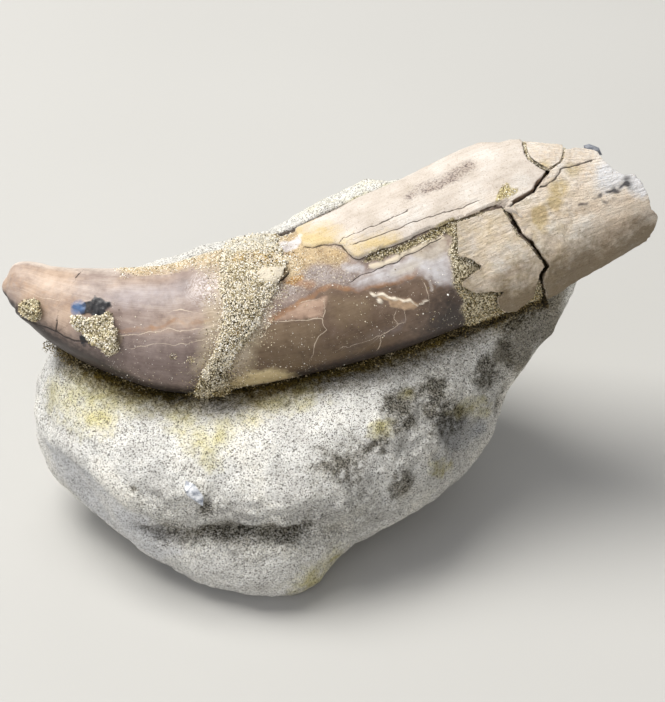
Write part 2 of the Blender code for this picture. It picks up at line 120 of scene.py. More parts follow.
# The open crack across the root, from the upper edge to the lower
CRACK = [
    (29.6, 38.0), (29.9, 32.8), (30.2, 31.2), (30.7, 29.9), (32.6, 28.6), (33.5, 28.2), (31.8, 26.4),
    (31.3, 25.4), (26.5, 22.6), (27.3, 21.1), (28.9, 17.9), (30.2, 17.1), (31.8, 15.1), (33.3, 13.2),
    (32.6, 12.4), (32.3, 10.8), (33.1, 10.0), (34.4, 5.0),
]
# The seam round the small chip at the top of the crack
CHIP_SEAM = [
    (30.3, 33.0), (30.5, 31.3), (31.0, 30.1), (33.2, 28.7), (34.2, 28.6), (36.1, 29.8), (36.5, 31.0),
    (36.6, 32.0),
]
# The broken upper edge of the root, left of the crack: nothing stands above it
BROKEN_TOP = [(20.0, 37.0), (23.3, 33.3), (26.5, 33.0), (28.2, 33.6), (31.5, 33.4)]
# The band of sand that crosses the tooth
BAND_OUTLINE = [
    (-17.2, 21.0), (-17.5, 12.4), (-16.9, 6.6), (-17.4, 2.0), (-18.3, -0.9), (-20.2, -4.2), (-22.5, -9.0),
    (-16.0, -9.0), (-17.0, -3.1), (-15.6, -0.8), (-13.4, 2.0), (-11.8, 4.1), (-10.9, 7.1), (-8.7, 10.2),
    (-6.6, 14.2), (-9.0, 15.6), (-9.4, 17.5), (-9.0, 22.0),
]

# Mesh density: voxels of the remeshed pieces, and rings and columns of the tooth, whose columns lie
# closest together on its front
ROCK_VOXEL = 0.49
ROOT_VOXEL = 0.23
PLATE_VOXEL = 0.17
CLUMP_VOXEL = 0.17
STATIONS = 420
FRONT_COLUMNS = 172
BACK_COLUMNS = 40
FRONT_ANGLES = (math.radians(-12.0), math.radians(192.0))
# The tooth's closing rings, as shares of its ends, and how far its tip bulges
TIP_SHARES = (0.12, 0.35, 0.6, 0.8, 0.93)
BREAK_SHARES = (0.94, 0.8, 0.6, 0.4, 0.2, 0.05)
TIP_BULGE = 0.8
# What the masks of the tooth are on its broken end
ON_BREAK = {"sand": 0.0, "infill": 0.0, "ink": 0.0, "crack": NO_LINE, "rim": NO_LINE, "core": 1.0}
# Roughly how far along the tooth the open crack lies
CRACK_ALONG = 85.0
# A remeshed point this close to the tooth's smooth skin is moved onto it
SKIN_REACH = 0.28
# Broken pieces of the root: node, name, voxel, and how far their outer and inner faces stand off the
# bare dentine
ROOT_PIECES = [
    ("root_end", "root_end_bark", ROOT_VOXEL, BARK, None),
    ("cementum_chip", "chip_bark", PLATE_VOXEL, BARK, None),
    ("cementum_plate", "plate_bark", PLATE_VOXEL, BARK + SEAT_GAP, SEAT_GAP),
]
# Patterns drawn round the tooth take it as a cylinder of this radius
ROUND_STEP = 11.0

# How many loose grains lie in the groove and the gap, in the crack, round the chip, where tooth and block
# meet, singly on the dentine, and beside the band, with how many places are tried for each of the last
GROOVE_GRAINS = 9000
CRACK_GRAINS = 3000
CHIP_DUST = 1600
CONTACT_GRAINS = 8000
SPECKS = 1600
FEATHER_GRAINS = 7000
FEATHER_TRIES = 14
# Grains of each clump, and how damp it is
CLUMPS = [("sand_clump_tip", 1000, 0.7), ("sand_clump_side", 3000, 0.25)]
# Smallest and largest grain of each kind
GRAIN_SIZES = {
    "band": (0.12, 0.30), "groove": (0.10, 0.28), "crack": (0.25, 0.5), "chip": (0.15, 0.3),
    "clump": (0.16, 0.40), "feather": (0.10, 0.26), "contact": (0.12, 0.28),
}
# Seeds of everything that is scattered or broken at random
SEEDS = {"band": 11, "groove": 31, "break": 3, "crack": 41, "sand": 21, "splinter": 50}

# Lines on the tooth: the path of each in the bed's frame, and its half width
CRACK_LINES = [
    ([(-49.6, 5.2), (-48.7, 4.9), (-46.5, 4.1), (-45.1, 3.6), (-43.6, 3.0), (-42.0, 2.1), (-40.7, 1.7),
      (-38.5, 1.4)], 0.10),
    ([(-40.5, 11.7), (-40.1, 12.4)], 0.08),
    ([(-43.8, 3.1), (-43.6, 3.9), (-43.5, 4.9)], 0.09),
    ([(2.9, 10.8), (4.0, 11.6), (5.5, 12.1), (6.6, 12.6), (7.3, 12.9), (8.5, 13.4), (9.9, 13.8),
      (10.5, 14.3), (11.3, 14.8), (12.9, 15.4), (14.3, 16.2), (15.4, 16.8), (16.8, 17.6)], 0.055),
    ([(-9.6, 10.3), (-7.8, 11.2), (-7.0, 12.2)], 0.10),
]
BARK_CRACK_LINES = [
    ([(1.4, 17.0), (1.8, 17.5), (2.9, 17.8), (4.1, 18.1), (5.2, 18.6), (6.2, 19.0), (7.1, 19.2),
      (7.9, 19.7), (9.1, 20.2), (10.5, 20.8), (11.9, 21.5)], 0.06),
    ([(3.2, 16.3), (5.2, 16.9), (7.3, 17.6), (9.4, 18.5), (10.9, 19.0), (12.3, 19.7), (13.8, 20.1),
      (15.7, 20.7), (17.1, 21.2), (18.8, 21.7), (20.2, 22.0), (21.3, 22.5), (22.7, 23.1)], 0.055),
    ([(-2.0, 20.9), (2.5, 23.2), (6.8, 25.2)], 0.05),
]
VEIN_LINES = [
    ([(-25.8, 6.1), (-23.6, 6.3), (-21.6, 6.1), (-20.4, 6.0), (-18.9, 6.2), (-17.5, 5.9)], 0.045),
    ([(-33.3, 2.3), (-30.0, 2.6), (-28.5, 3.0), (-26.7, 3.2), (-25.6, 3.6), (-24.5, 3.1), (-22.7, 3.3),
      (-21.1, 3.5), (-19.3, 3.7), (-17.5, 4.3)], 0.05),
    ([(-31.4, 0.5), (-30.0, 0.7), (-28.2, 1.1), (-26.7, 1.3), (-24.9, 1.0), (-22.7, 1.1), (-21.1, 1.8),
      (-19.3, 1.9), (-17.5, 2.3)], 0.045),
    ([(-51.9, 10.4), (-48.6, 9.6), (-46.0, 8.4), (-43.2, 8.0)], 0.04),
    ([(-9.4, 4.5), (-5.4, 4.7), (-1.7, 5.0)], 0.06),
    ([(-4.9, 7.5), (-2.0, 8.3), (-1.2, 7.6)], 0.04),
    ([(-1.3, 7.7), (-1.2, 6.0), (-1.5, 4.8), (-1.0, 3.4), (-1.8, 2.6), (-2.6, 1.1), (-3.2, -0.9)], 0.065),
    ([(11.2, 6.1), (11.6, 5.3), (11.5, 4.7), (10.4, 4.1), (9.0, 3.3), (7.7, 2.5), (7.4, 1.4),
      (7.2, 0.3)], 0.065),
    ([(10.4, 4.1), (9.8, 4.9), (9.8, 5.8)], 0.04),
    ([(7.7, 2.5), (5.6, 1.8), (3.4, 1.1), (1.6, 0.4)], 0.045),
    ([(15.0, 8.2), (14.8, 9.5), (14.4, 10.6)], 0.04),
    ([(-13.0, 1.4), (-11.0, 2.4), (-9.6, 4.6)], 0.05),
]
# Faint milky streaks across the dentine beside the gap
STREAK_LINES = [
    ([(14.2, 14.2), (15.4, 9.6)], 0.25),
    ([(15.6, 14.6), (16.6, 10.6)], 0.3),
    ([(17.0, 14.4), (17.6, 11.6)], 0.2),
    ([(13.0, 13.0), (18.6, 15.2)], 0.12),
]
RUST_LINES = [
    ([(-51.8, 10.9), (-48.3, 9.7), (-45.5, 8.1), (-41.1, 7.6)], 0.9),
    ([(-33.3, 2.9), (-29.0, 3.4), (-27.3, 3.8), (-24.5, 4.6), (-19.9, 4.6), (-17.6, 5.0)], 0.3),
    ([(-9.7, 4.9), (-7.3, 6.2), (-4.9, 7.6), (-2.0, 9.2), (0.2, 10.1)], 0.3),
    ([(0.2, 10.1), (3.7, 9.8), (6.6, 10.0), (9.5, 10.6), (12.4, 11.7), (13.2, 12.4)], 0.3),
    ([(-7.8, 11.6), (-4.6, 10.6), (-3.2, 10.4)], 0.55),
    ([(-8.6, 14.6), (-5.6, 14.9), (-3.0, 14.6)], 0.3),
    ([(-2.0, 15.4), (0.6, 15.6), (1.6, 15.0)], 0.4),
]

# Patches on the tooth: the outline of each in the bed's frame, and how softly its edge fades
UMBER_PATCHES = [
    ([(-15.0, -8.0), (-13.0, 2.0), (-9.5, 5.2), (-4.9, 7.8), (-1.8, 9.3), (0.4, 10.2), (3.7, 9.9),
      (6.6, 10.1), (9.5, 10.5), (12.6, 11.8), (13.6, 12.0), (17.0, 10.5), (19.4, 9.5), (20.5, 7.5),
      (26.0, 6.0), (34.0, 4.0), (34.0, -10.0)], 0.8),
]
# Where the crown is darker purple below: partly its own tone, partly painted shade
PLUM_PATCHES = [
    ([(-38.5, 0.0), (-36.5, 1.6), (-34.0, 2.1), (-31.0, 2.5), (-29.2, 2.7), (-27.0, 3.5), (-24.4, 4.0),
      (-22.0, 4.3), (-18.8, 5.6), (-15.0, 4.0), (-14.0, -9.0), (-34.0, -9.0), (-44.0, -3.0)], 0.7),
]
# A dark purple place low on the bare dentine, deepened in part as painted shade
DUSK_PATCHES = [
    ([(13.0, 2.0), (15.0, 6.0), (17.0, 9.0), (19.0, 10.6), (21.0, 8.0), (24.0, 4.0), (16.0, -2.0)], 3.0),
]
MILK_PATCHES = [
    ([(3.1, 10.8), (6.6, 12.6), (10.4, 14.1), (13.8, 15.8), (16.7, 17.3), (18.2, 15.6), (18.9, 13.0),
      (18.9, 10.5), (16.2, 10.4), (14.6, 11.6), (12.6, 12.4), (9.5, 11.2), (6.6, 10.6),
      (3.7, 10.2)], 1.2),
    ([(-8.7, 15.9), (-8.3, 17.3), (-6.5, 17.9), (-5.2, 18.3), (-4.5, 18.0), (-5.0, 17.2), (-5.9, 16.0),
      (-7.0, 15.4)], 0.2),
    ([(1.6, 13.9), (3.2, 13.4), (4.8, 13.6), (4.4, 12.2), (2.6, 12.4)], 0.5),
]
LILAC_PATCHES = [
    ([(-4.4, 12.4), (-2.4, 13.6), (1.0, 12.6), (3.6, 13.2), (4.6, 12.6), (3.0, 10.6), (0.0, 10.2),
      (-3.0, 10.4), (-6.0, 8.6), (-7.4, 8.6), (-6.4, 10.6)], 0.9),
]
HONEY_PATCHES = [
    ([(-34.6, 13.6), (-33.6, 12.1), (-30.5, 12.1), (-27.2, 12.5), (-22.6, 13.1), (-17.5, 13.6),
      (-17.0, 19.0), (-27.0, 17.0)], 0.7),
    ([(-8.4, 11.8), (-9.6, 14.6), (-10.0, 20.0), (-3.0, 19.0), (-1.5, 17.4), (1.8, 16.2), (2.4, 14.2),
      (0.4, 13.4), (-2.0, 13.8), (-4.4, 12.6), (-6.0, 11.6)], 0.8),
]
BARK_HONEY_PATCHES = [
    ([(-6.6, 20.0), (-5.4, 16.0), (-3.0, 15.0), (0.6, 15.4), (2.2, 13.4), (4.0, 12.4), (7.0, 13.8),
      (12.0, 16.2), (9.6, 18.2), (4.6, 17.2), (2.6, 18.2), (0.0, 19.6), (-2.8, 20.6)], 1.5),
]
# Where the brown dentine lets more light through, and where it is clouded
GLOW_PATCHES = [
    ([(-13.0, 0.0), (-11.5, 3.0), (-9.2, 4.4), (-1.9, 4.8), (-1.6, 3.4), (-3.0, 0.2), (-4.6, -3.0),
      (-9.0, -2.4)], 0.5),
    ([(-0.6, 8.6), (5.2, 8.8), (6.6, 7.0), (6.2, 4.2), (1.0, 3.6), (-0.8, 5.6)], 1.4),
]
TAN_PATCHES = [
    ([(-31.0, 3.2), (-26.9, 5.2), (-22.3, 6.2), (-18.0, 6.4), (-18.0, 3.6), (-22.3, 3.1),
      (-26.9, 2.7)], 1.1),
    ([(-35.0, 11.6), (-30.0, 12.4), (-25.0, 12.4), (-25.0, 10.6), (-30.0, 10.0), (-35.0, 9.6)], 1.6),
]
HAZE_PATCHES = [
    ([(11.2, 4.8), (10.8, 3.2), (3.0, -0.4), (1.5, 0.4), (6.0, 2.8)], 0.9),
    ([(-37.0, 8.4), (-34.0, 10.2), (-28.0, 10.6), (-23.0, 10.8), (-22.0, 8.6), (-26.0, 6.8),
      (-33.0, 6.4)], 1.4),
]
# A pale amber strip along the lower edge: partly its own pale tone, partly a painted glow of reflected
# light
AMBER_PATCHES = [
    ([(-19.0, -6.0), (-15.4, -4.0), (-12.6, -3.2), (-9.8, -3.0), (-5.4, -4.2), (-6.0, -7.0),
      (-19.0, -8.0)], 0.9),
]
DUST_PATCHES = [
    ([(-21.0, 14.0), (-20.4, 9.0), (-20.0, 5.0), (-21.0, 0.0), (-22.5, -3.5), (-13.0, -3.5), (-11.0, 3.0),
      (-8.5, 9.0), (-6.0, 14.0)], 1.1),
    ([(-37.0, 3.4), (-34.8, 3.2), (-33.0, 1.8), (-34.0, 0.6), (-36.0, 1.2)], 0.6),
    ([(9.0, 12.4), (11.0, 13.6), (14.0, 14.2), (13.6, 12.9), (10.6, 11.9)], 0.9),
    ([(12.0, 15.8), (17.6, 17.8), (18.6, 15.4), (15.4, 13.9), (13.2, 14.6)], 0.8),
]
# Where grit still clings to the bare dentine beside the band
GRIT_OUTLINE = [
    (-12.0, 9.0), (-10.0, 19.0), (-3.0, 18.0), (2.6, 16.2), (2.6, 13.6), (4.0, 11.8), (1.0, 10.6),
    (-2.6, 10.2), (-6.6, 8.2), (-9.4, 6.0), (-12.0, 3.4),
]
CREAM_STRIP = [
    (5.7, 13.5), (7.4, 13.9), (9.1, 14.5), (10.4, 15.1), (11.9, 15.8), (13.5, 16.6), (15.2, 17.2),
    (17.2, 17.9), (17.6, 17.6), (16.0, 16.9), (14.3, 16.2), (12.7, 15.5), (11.3, 14.9), (10.5, 14.3),
    (9.9, 13.9), (8.5, 13.4), (7.3, 13.0), (6.4, 12.8), (5.7, 13.0),
]
GROOVE = [
    (4.6, 14.4), (6.3, 15.2), (7.4, 15.7), (9.1, 16.2), (10.4, 16.8), (12.3, 17.5), (13.8, 18.4),
    (15.4, 18.9), (17.0, 19.5), (18.9, 20.3), (19.2, 17.6), (17.4, 18.0), (15.2, 17.4), (13.5, 16.8),
    (11.9, 16.0), (10.4, 15.3), (9.1, 14.7), (7.4, 14.1), (5.1, 13.9),
]
INFILL = [
    (19.0, 20.3), (18.4, 17.8), (18.7, 14.2), (18.9, 11.8), (19.4, 9.5), (20.3, 7.5), (20.0, 6.1),
    (21.3, 4.6), (26.0, 4.0), (33.5, 7.5), (34.0, 13.0), (27.0, 22.0), (23.0, 21.8),
]
INK_PATCHES = [
    ([(-40.9, 6.6), (-40.5, 7.4), (-39.4, 7.8), (-37.8, 8.0), (-37.0, 8.3), (-36.3, 7.6), (-35.0, 7.5),
      (-34.5, 7.1), (-35.9, 6.7), (-35.4, 5.8), (-36.6, 5.0), (-37.6, 5.4), (-39.0, 5.8)], 0.2),
    ([(-40.4, 2.6), (-39.6, 3.3), (-38.2, 2.4), (-37.4, 1.4), (-38.4, 1.0), (-39.6, 1.4)], 0.25),
]
# Just outside the loose plate's edge on the side of the tip, where its shadow is painted
PLATE_EDGE = [
    (19.3, 20.0), (19.3, 15.4), (19.6, 14.5), (21.6, 14.1), (23.1, 13.1), (22.9, 12.7), (20.2, 10.9),
    (19.9, 10.0), (22.9, 8.8), (25.3, 9.2), (26.8, 9.1), (25.7, 8.2), (26.2, 6.6), (27.2, 6.0),
    (29.2, 6.1), (31.9, 8.4),
]
SCAR_OUTLINE = [
    (6.2, 9.4), (7.5, 8.9), (8.3, 8.5), (10.1, 8.3), (12.1, 7.7), (13.6, 7.1), (14.6, 7.6), (15.0, 8.6),
    (14.6, 9.8), (13.4, 11.0), (11.4, 10.7), (9.5, 10.0), (7.4, 9.8),
]
SCAR_LEDGE = [
    ([(6.1, 9.0), (6.6, 8.7), (7.1, 8.7), (7.9, 8.9), (8.6, 8.4), (9.6, 8.1), (10.5, 8.0), (11.5, 7.8),
      (12.2, 7.8)], 0.14),
    ([(12.2, 7.8), (12.9, 7.4), (13.4, 7.2), (14.0, 7.2), (15.0, 8.0)], 0.09),
    ([(7.3, 7.9), (7.4, 7.7)], 0.2),
]
SCAR_FLESH = [
    (6.9, 8.6), (7.5, 8.1), (8.3, 7.6), (9.0, 7.1), (9.9, 6.7), (11.3, 6.4), (12.5, 6.5), (13.4, 6.9),
    (13.8, 7.3), (12.0, 8.0), (9.8, 8.2), (8.4, 8.7),
]
BLUSH_PATCH = [(-9.5, 4.9), (-7.3, 6.3), (-4.3, 7.7), (-1.2, 8.1), (-1.3, 6.9), (-1.6, 5.1)]
PORES_PATH = [(12.6, 24.3), (15.9, 25.4), (18.0, 26.5), (19.9, 27.5), (21.6, 28.4)]
SAND_PATCH = [
    (25.5, 23.1), (26.0, 24.7), (27.3, 25.8), (28.2, 25.1), (29.1, 25.1), (29.0, 24.5), (27.4, 23.7),
]
RAISED_CHUNK = [
    (-11.8, 12.3), (-11.0, 13.2), (-9.4, 13.3), (-7.7, 13.3), (-6.5, 14.5), (-6.1, 13.5), (-7.0, 11.4),
    (-8.2, 10.4), (-9.8, 10.5), (-11.0, 11.1), (-11.8, 11.6),
]
OCHRE_PATCHES = [
    ([(-17.0, 13.6), (-15.0, 15.6), (-9.0, 15.6), (-6.4, 15.2), (-6.8, 14.2), (-9.6, 13.6),
      (-12.4, 13.4)], 0.5),
    ([(-7.7, 10.5), (-6.5, 11.9), (-4.6, 12.1), (-4.2, 11.3), (-6.2, 10.3)], 0.3),
    ([(-15.6, 2.4), (-15.6, 4.4), (-13.8, 4.2), (-13.8, 2.8)], 0.3),
]
# Small heaps of grains on the crown
GRAIN_HEAPS = [((-24.9, -0.9), 0.8), ((-22.2, -1.5), 0.8), ((-17.4, 4.6), 0.6)]

# The blue-black stain near the tip, whose blue is partly a painted glossy highlight, and the rippled
# place of the crown where a highlight is painted
BLUE_INK_MIDDLE = (-40.1, 6.7)
BLUE_INK_RADIUS = 1.5
SWIRL_MIDDLE = (-19.9, 9.9)
SWIRL_FOOT = (-18.8, 8.6)
SWIRL_RADIUS = 3.6
# On the root end: a fine crack, mineral-dark lines and spots, and milky and honey-coloured spots
ROOT_CRACK_LINES = [
    ([(31.8, 25.5), (33.2, 25.9), (34.8, 26.9), (36.0, 28.6), (39.5, 29.6), (40.9, 30.0)], 0.11),
]
ROOT_INK_LINES = [
    ([(38.5, 22.6), (40.5, 23.6), (42.1, 24.4), (43.4, 25.1), (44.9, 25.7), (46.5, 26.4)], 0.14),
]
ROOT_INK_SPOTS = [((46.2, 26.2), 1.7), ((44.4, 24.9), 1.5), ((43.0, 24.2), 1.0)]
ROOT_MILK_SPOTS = [((44.0, 27.8), 3.8), ((46.0, 28.4), 3.2), ((48.6, 26.2), 3.2)]
ROOT_HONEY_SPOTS = [
    ((34.4, 23.2), 2.0), ((35.2, 25.8), 2.2), ((37.5, 28.6), 2.2), ((32.4, 21.0), 1.8),
    ((33.0, 29.4), 2.0),
]

# Marks on the block, in the world: middle of each, radius
YELLOW_SPOTS = [
    ((-20.9, -13.2, 28.5), 3.4), ((-19.6, -14.5, 26.8), 2.8), ((-17.2, -11.6, 29.3), 3.0),
    ((-12.9, -9.5, 30.2), 2.6), ((-11.3, -5.5, 30.8), 3.4), ((-8.4, -6.2, 30.9), 3.2),
    ((-5.2, -5.1, 31.7), 3.6), ((-44.0, -1.6, 28.4), 4.0), ((-40.4, -4.0, 31.2), 5.5),
    ((-35.5, -5.1, 31.1), 5.0), ((-30.7, -5.6, 30.4), 4.0), ((-38.6, -7.0, 29.5), 4.5),
    ((-24.0, -8.5, 29.6), 3.6), ((-3.0, -18.8, 3.2), 4.4), ((0.1, -16.0, 4.8), 3.0),
]
# Seen from the front: olive, dark and blue-grey patches on the block, and how softly their edges fade
OLIVE_PATCHES = [
    ([(8.0, -10.6), (9.6, -11.4), (9.2, -13.4), (7.6, -14.4), (6.0, -13.4), (6.6, -11.4)], 1.0),
    ([(11.0, -6.4), (12.8, -6.2), (13.4, -7.4), (12.2, -8.6), (10.6, -8.0)], 0.8),
    ([(16.2, -18.1), (17.8, -17.3), (19.4, -18.8), (18.0, -20.6), (15.8, -20.0)], 1.0),
    ([(18.0, -9.6), (22.6, -7.4), (26.0, -8.2), (25.0, -10.2), (20.0, -11.0)], 1.4),
    ([(1.5, 22.6), (3.5, 24.2), (7.0, 25.9), (9.8, 27.2), (10.6, 26.8), (7.6, 25.2), (4.2, 23.2),
      (2.4, 22.3)], 0.5),
]
DARK_PATCHES = [
    ([(13.0, -5.8), (14.4, -4.8), (17.4, -4.5), (19.0, -5.3), (17.4, -6.6), (14.4, -6.8)], 0.9),
    ([(9.0, -7.7), (11.1, -8.0), (12.2, -9.9), (12.7, -11.5), (11.4, -12.9), (10.2, -11.5), (9.4, -9.9),
      (8.4, -8.9)], 0.9),
    ([(16.0, -7.2), (18.4, -7.7), (19.9, -9.6), (20.2, -11.5), (18.6, -13.4), (16.8, -13.2),
      (15.8, -10.8), (15.0, -8.9)], 1.2),
    ([(8.7, -12.6), (9.6, -13.3), (8.1, -15.2), (6.6, -16.4), (5.2, -15.7), (6.8, -14.0)], 0.9),
    ([(-1.6, -17.2), (2.0, -15.5), (4.4, -16.7), (3.4, -19.6), (0.2, -20.6)], 3.4),
    ([(10.0, -19.6), (11.8, -18.9), (13.2, -20.0), (12.8, -21.9), (11.2, -23.2), (9.4, -21.5)], 1.4),
    ([(23.0, -3.0), (25.0, -1.0), (26.6, -2.6), (25.6, -5.4), (23.8, -5.2)], 1.2),
]
SLATE_PATCHES = [
    ([(16.9, -10.4), (21.6, -10.6), (26.0, -10.9), (25.4, -13.2), (22.8, -15.5), (19.2, -16.5),
      (16.9, -14.0)], 1.0),
]
# Seen from the front: the crumbled, dirty right side, the layered foot, and the smooth strip beside it
ROUGH_OUTLINE = [
    (9.5, -3.4), (15.6, -1.4), (23.6, -0.2), (27.6, -3.4), (27.6, -9.4), (25.2, -14.2), (19.6, -20.3),
    (15.6, -23.8), (10.0, -27.0), (2.8, -29.4), (-0.4, -27.0), (2.0, -22.2), (5.2, -19.0), (6.3, -14.2),
    (8.4, -10.2), (7.6, -6.2),
]
STRATA_OUTLINE = [
    (-32.0, -21.5), (-22.0, -22.5), (-12.0, -23.5), (0.0, -23.5), (6.0, -22.0), (8.0, -27.0),
    (0.0, -31.5), (-12.0, -33.0), (-24.0, -30.5), (-32.0, -26.0),
]
STRIP_OUTLINE = [
    (-46.0, -14.2), (-41.2, -17.1), (-37.2, -20.3), (-32.4, -24.3), (-26.8, -28.6), (-22.8, -32.2),
    (-29.2, -34.0), (-37.2, -28.6), (-46.6, -21.8),
]
# Forms of the block, in the world: the ridge on its left, the crease and darkened spots on its right, the
# furrow above its toe, and small pits. The crease, the furrow and the pits are painted dark as shade; the
# spots are a dark stain deepened with painted shade, and the pit below the quartz chip is its painted
# shadow.
LEFT_RIDGE = [
    (-48.0, 0.5, 22.3), (-46.6, -2.3, 20.3), (-41.4, -9.2, 22.4), (-37.1, -12.8, 21.2),
    (-32.2, -16.4, 18.8),
]
RIGHT_CREASE = [
    (31.5, 6.5, 39.4), (27.8, 3.3, 36.7), (29.2, 3.5, 31.4), (28.6, 2.3, 27.2), (27.6, 2.3, 21.9),
]
SHOULDER_SPOTS = [
    ((33.7, 9.0, 38.4), 5.5), ((31.3, 6.6, 35.2), 5.5), ((28.0, 3.4, 32.6), 4.0),
    ((35.6, 8.6, 33.7), 6.0), ((30.5, 3.9, 31.1), 4.5),
]
TOE_GROOVE = [
    (-29.5, -17.4, 13.2), (-27.0, -18.5, 13.6), (-20.1, -19.7, 13.8), (-13.0, -21.0, 15.4),
    (-4.0, -20.6, 16.0),
]
SMALL_SPOTS = [
    ((-31.6, -16.4, 21.1), 0.9), ((-7.2, -7.0, 31.0), 0.9), ((-20.0, -19.8, 19.9), 1.9),
    ((-22.6, -18.0, 24.6), 0.9),
]
# Chips of quartz, in the bed's frame: name, middle, halves of its size, lean in degrees, how smoky, seed
GLASSY_CHIPS = [
    ("quartz_chip", (-21.6, -22.6, 7.3), (2.7, 1.1, 1.1), -58.0, 0.0, 5),
    ("quartz_flake", (41.7, 32.1, -0.4), (1.8, 0.9, 0.9), -25.0, 0.8, 6),
]
# Splinters of bark across the open crack: middle, halves of its size, lean in degrees
SPLINTERS = [
    ((28.1, 21.8), (1.5, 0.55, 0.4), -20.0), ((27.5, 22.8), (0.8, 0.35, 0.3), 35.0),
    ((29.2, 21.1), (0.7, 0.3, 0.3), -40.0),
]


def hex_colour(text):
    """An sRGB hex value, such as "#c8b9a6", as the linear colour that shaders take."""
    parts = [int(text[i : i + 2], 16) / 255 for i in (1, 3, 5)]
    linear = [c / 12.92 if c <= 0.04045 else ((c + 0.055) / 1.055) ** 2.4 for c in parts]
    return (*linear, 1.0)


def set_inputs(tree, node, links):
    """Sets each of these inputs of the node to its value, or joins it to its socket."""
    for key, value in links.items():
        if isinstance(value, NodeSocket):
            tree.links.new(value, node.inputs[key])
        else:
            node.inputs[key].default_value = value


def add_node(tree, kind, settings, links):
    """A node of this kind with its settings, and each input set to a value or joined to a socket."""
    node = tree.nodes.new(kind)
    for name, value in settings.items():
        setattr(node, name, value)
    set_inputs(tree, node, links)
    return node


def unit(values):
    """The values, held between 0 and 1."""
    return np.clip(values, 0.0, 1.0)


# Places on the tooth


def with_length(rows):
    """Rows of coordinates, each headed by how far along the path it lies."""
    steps = [math.dist(before[:2], row[:2]) for before, row in zip(rows, rows[1:])]
    return np.column_stack((np.concatenate(([0.0], np.cumsum(steps))), np.array(rows)))


def curve_at(knots, t):
    """The values at each t on the smooth curve through knots. The first column of knots is the place
    along it."""
    t = np.clip(t, knots[0, 0], knots[-1, 0])
    i = np.clip(np.searchsorted(knots[:, 0], t, side="right") - 1, 0, len(knots) - 2)
    low, high = knots[i], knots[i + 1]
    before, after = knots[np.maximum(i - 1, 0)], knots[np.minimum(i + 2, len(knots) - 1)]
    span = high[:, :1] - low[:, :1]
    u = (t[:, None] - low[:, :1]) / span
    slope_low = (high - before) / (high[:, :1] - before[:, :1]) * span
    slope_high = (after - low) / (after[:, :1] - low[:, :1]) * span
    values = (2 * u**3 - 3 * u**2 + 1) * low + (u**3 - 2 * u**2 + u) * slope_low
    values += (3 * u**2 - 2 * u**3) * high + (u**3 - u**2) * slope_high
    return values[:, 1:]


SPINE = with_length(TOOTH_LINE)
SPINE_STEPS = np.linspace(0.0, SPINE[-1, 0], 800)
SPINE_ROWS = curve_at(SPINE, SPINE_STEPS)


def spine_at(along):
    """Middle, half width, half thickness and forward direction of the tooth at each place along it."""
    rows = np.column_stack([np.interp(along, SPINE_STEPS, column) for column in SPINE_ROWS.T])
    ahead = np.column_stack([np.interp(along + 0.5, SPINE_STEPS, column) for column in SPINE_ROWS.T[:2]])
    behind = np.column_stack([np.interp(along - 0.5, SPINE_STEPS, column) for column in SPINE_ROWS.T[:2]])
    forward = ahead - behind
    forward /= np.linalg.norm(forward, axis=1, keepdims=True)
    return rows[:, :3], rows[:, 3], rows[:, 4], forward


def skin_point(along, angle, grown=0.0):
    """Points of the tooth's skin in the bed's frame, by place along the tooth and angle round it."""
    middle, width, thickness, forward = spine_at(along)
    across = np.cos(angle) * (width + grown)
    out = np.sin(angle) * (thickness + grown)
    return middle + np.column_stack((-forward[:, 1] * across, forward[:, 0] * across, out))


def beside_tooth(points):
    """For each point in the bed's frame: its place along the tooth, its angle round it, and how far
    outside the bare skin it lies."""
    along = np.interp(points[:, 0], SPINE_ROWS[:, 0], SPINE_STEPS)
    for _ in range(4):
        middle, _, _, forward = spine_at(along)
        step = ((points[:, :2] - middle[:, :2]) * forward).sum(axis=1)
        along = np.clip(along + step, 0.0, SPINE[-1, 0])
    middle, width, thickness, forward = spine_at(along)
    offset = points - middle
    side = offset[:, 1] * forward[:, 0] - offset[:, 0] * forward[:, 1]
    angle = np.arctan2(offset[:, 2] / thickness, side / width)
    skin = np.hypot(width * np.cos(angle), thickness * np.sin(angle))
    return along, angle, np.hypot(side, offset[:, 2]) - skin


def lay_on_tooth(path, grown=0.0):
    """A flat path of (x, y), lifted onto the front of the tooth."""
    flat = np.column_stack((np.array(path), np.zeros(len(path))))
    along = beside_tooth(flat)[0]
    middle, width, thickness, forward = spine_at(along)
    offset = flat - middle
    side = offset[:, 1] * forward[:, 0] - offset[:, 0] * forward[:, 1]
    rise = np.sqrt(unit(1.0 - (side / (width + grown)) ** 2))
    flat[:, 2] = middle[:, 2] + (thickness + grown) * rise
    return flat


TO_WORLD = np.array(
    [
        (1.0, 0.0, 0.0),
        (0.0, math.cos(BED_LEAN), -math.sin(BED_LEAN)),
        (0.0, math.sin(BED_LEAN), math.cos(BED_LEAN)),
    ]
)


def to_world(points):
    return points @ TO_WORLD.T + BED_ORIGIN


def to_bed(points):
    return (points - BED_ORIGIN) @ TO_WORLD


# Shapes drawn by distance and by noise


def waver(points, size, seed=0):
    """Smooth noise from -1 to 1 at each point, in lumps of about this size."""
    place = points / size + seed * 7.31
    cell = np.floor(place).astype(np.int64)
    part = place - cell
    part = part * part * (3 - 2 * part)
    total = np.zeros(len(points))
    for corner in itertools.product((0, 1), repeat=3):
        key = (cell + np.array(corner)) @ np.array((73856093, 19349663, 83492791))
        key = (key ^ (key >> 13)) * 1274126177 & 0xFFFFFFFF
        value = ((key ^ (key >> 16)) & 0xFFFF) / 32767.5 - 1.0
        total += value * np.prod(np.where(corner, part, 1 - part), axis=1)
    return total


def wavers(points, *layers):
    """The sum of smooth noises, each given as (amount, size, seed)."""
    return sum(amount * waver(points, size, seed) for amount, size, seed in layers)


def strayed(points, amount, size, seed=0):
    """The points, each moved a little by noise, so that what is drawn through them wanders."""
    return points + amount * np.column_stack([waver(points, size, seed + axis) for axis in range(3)])


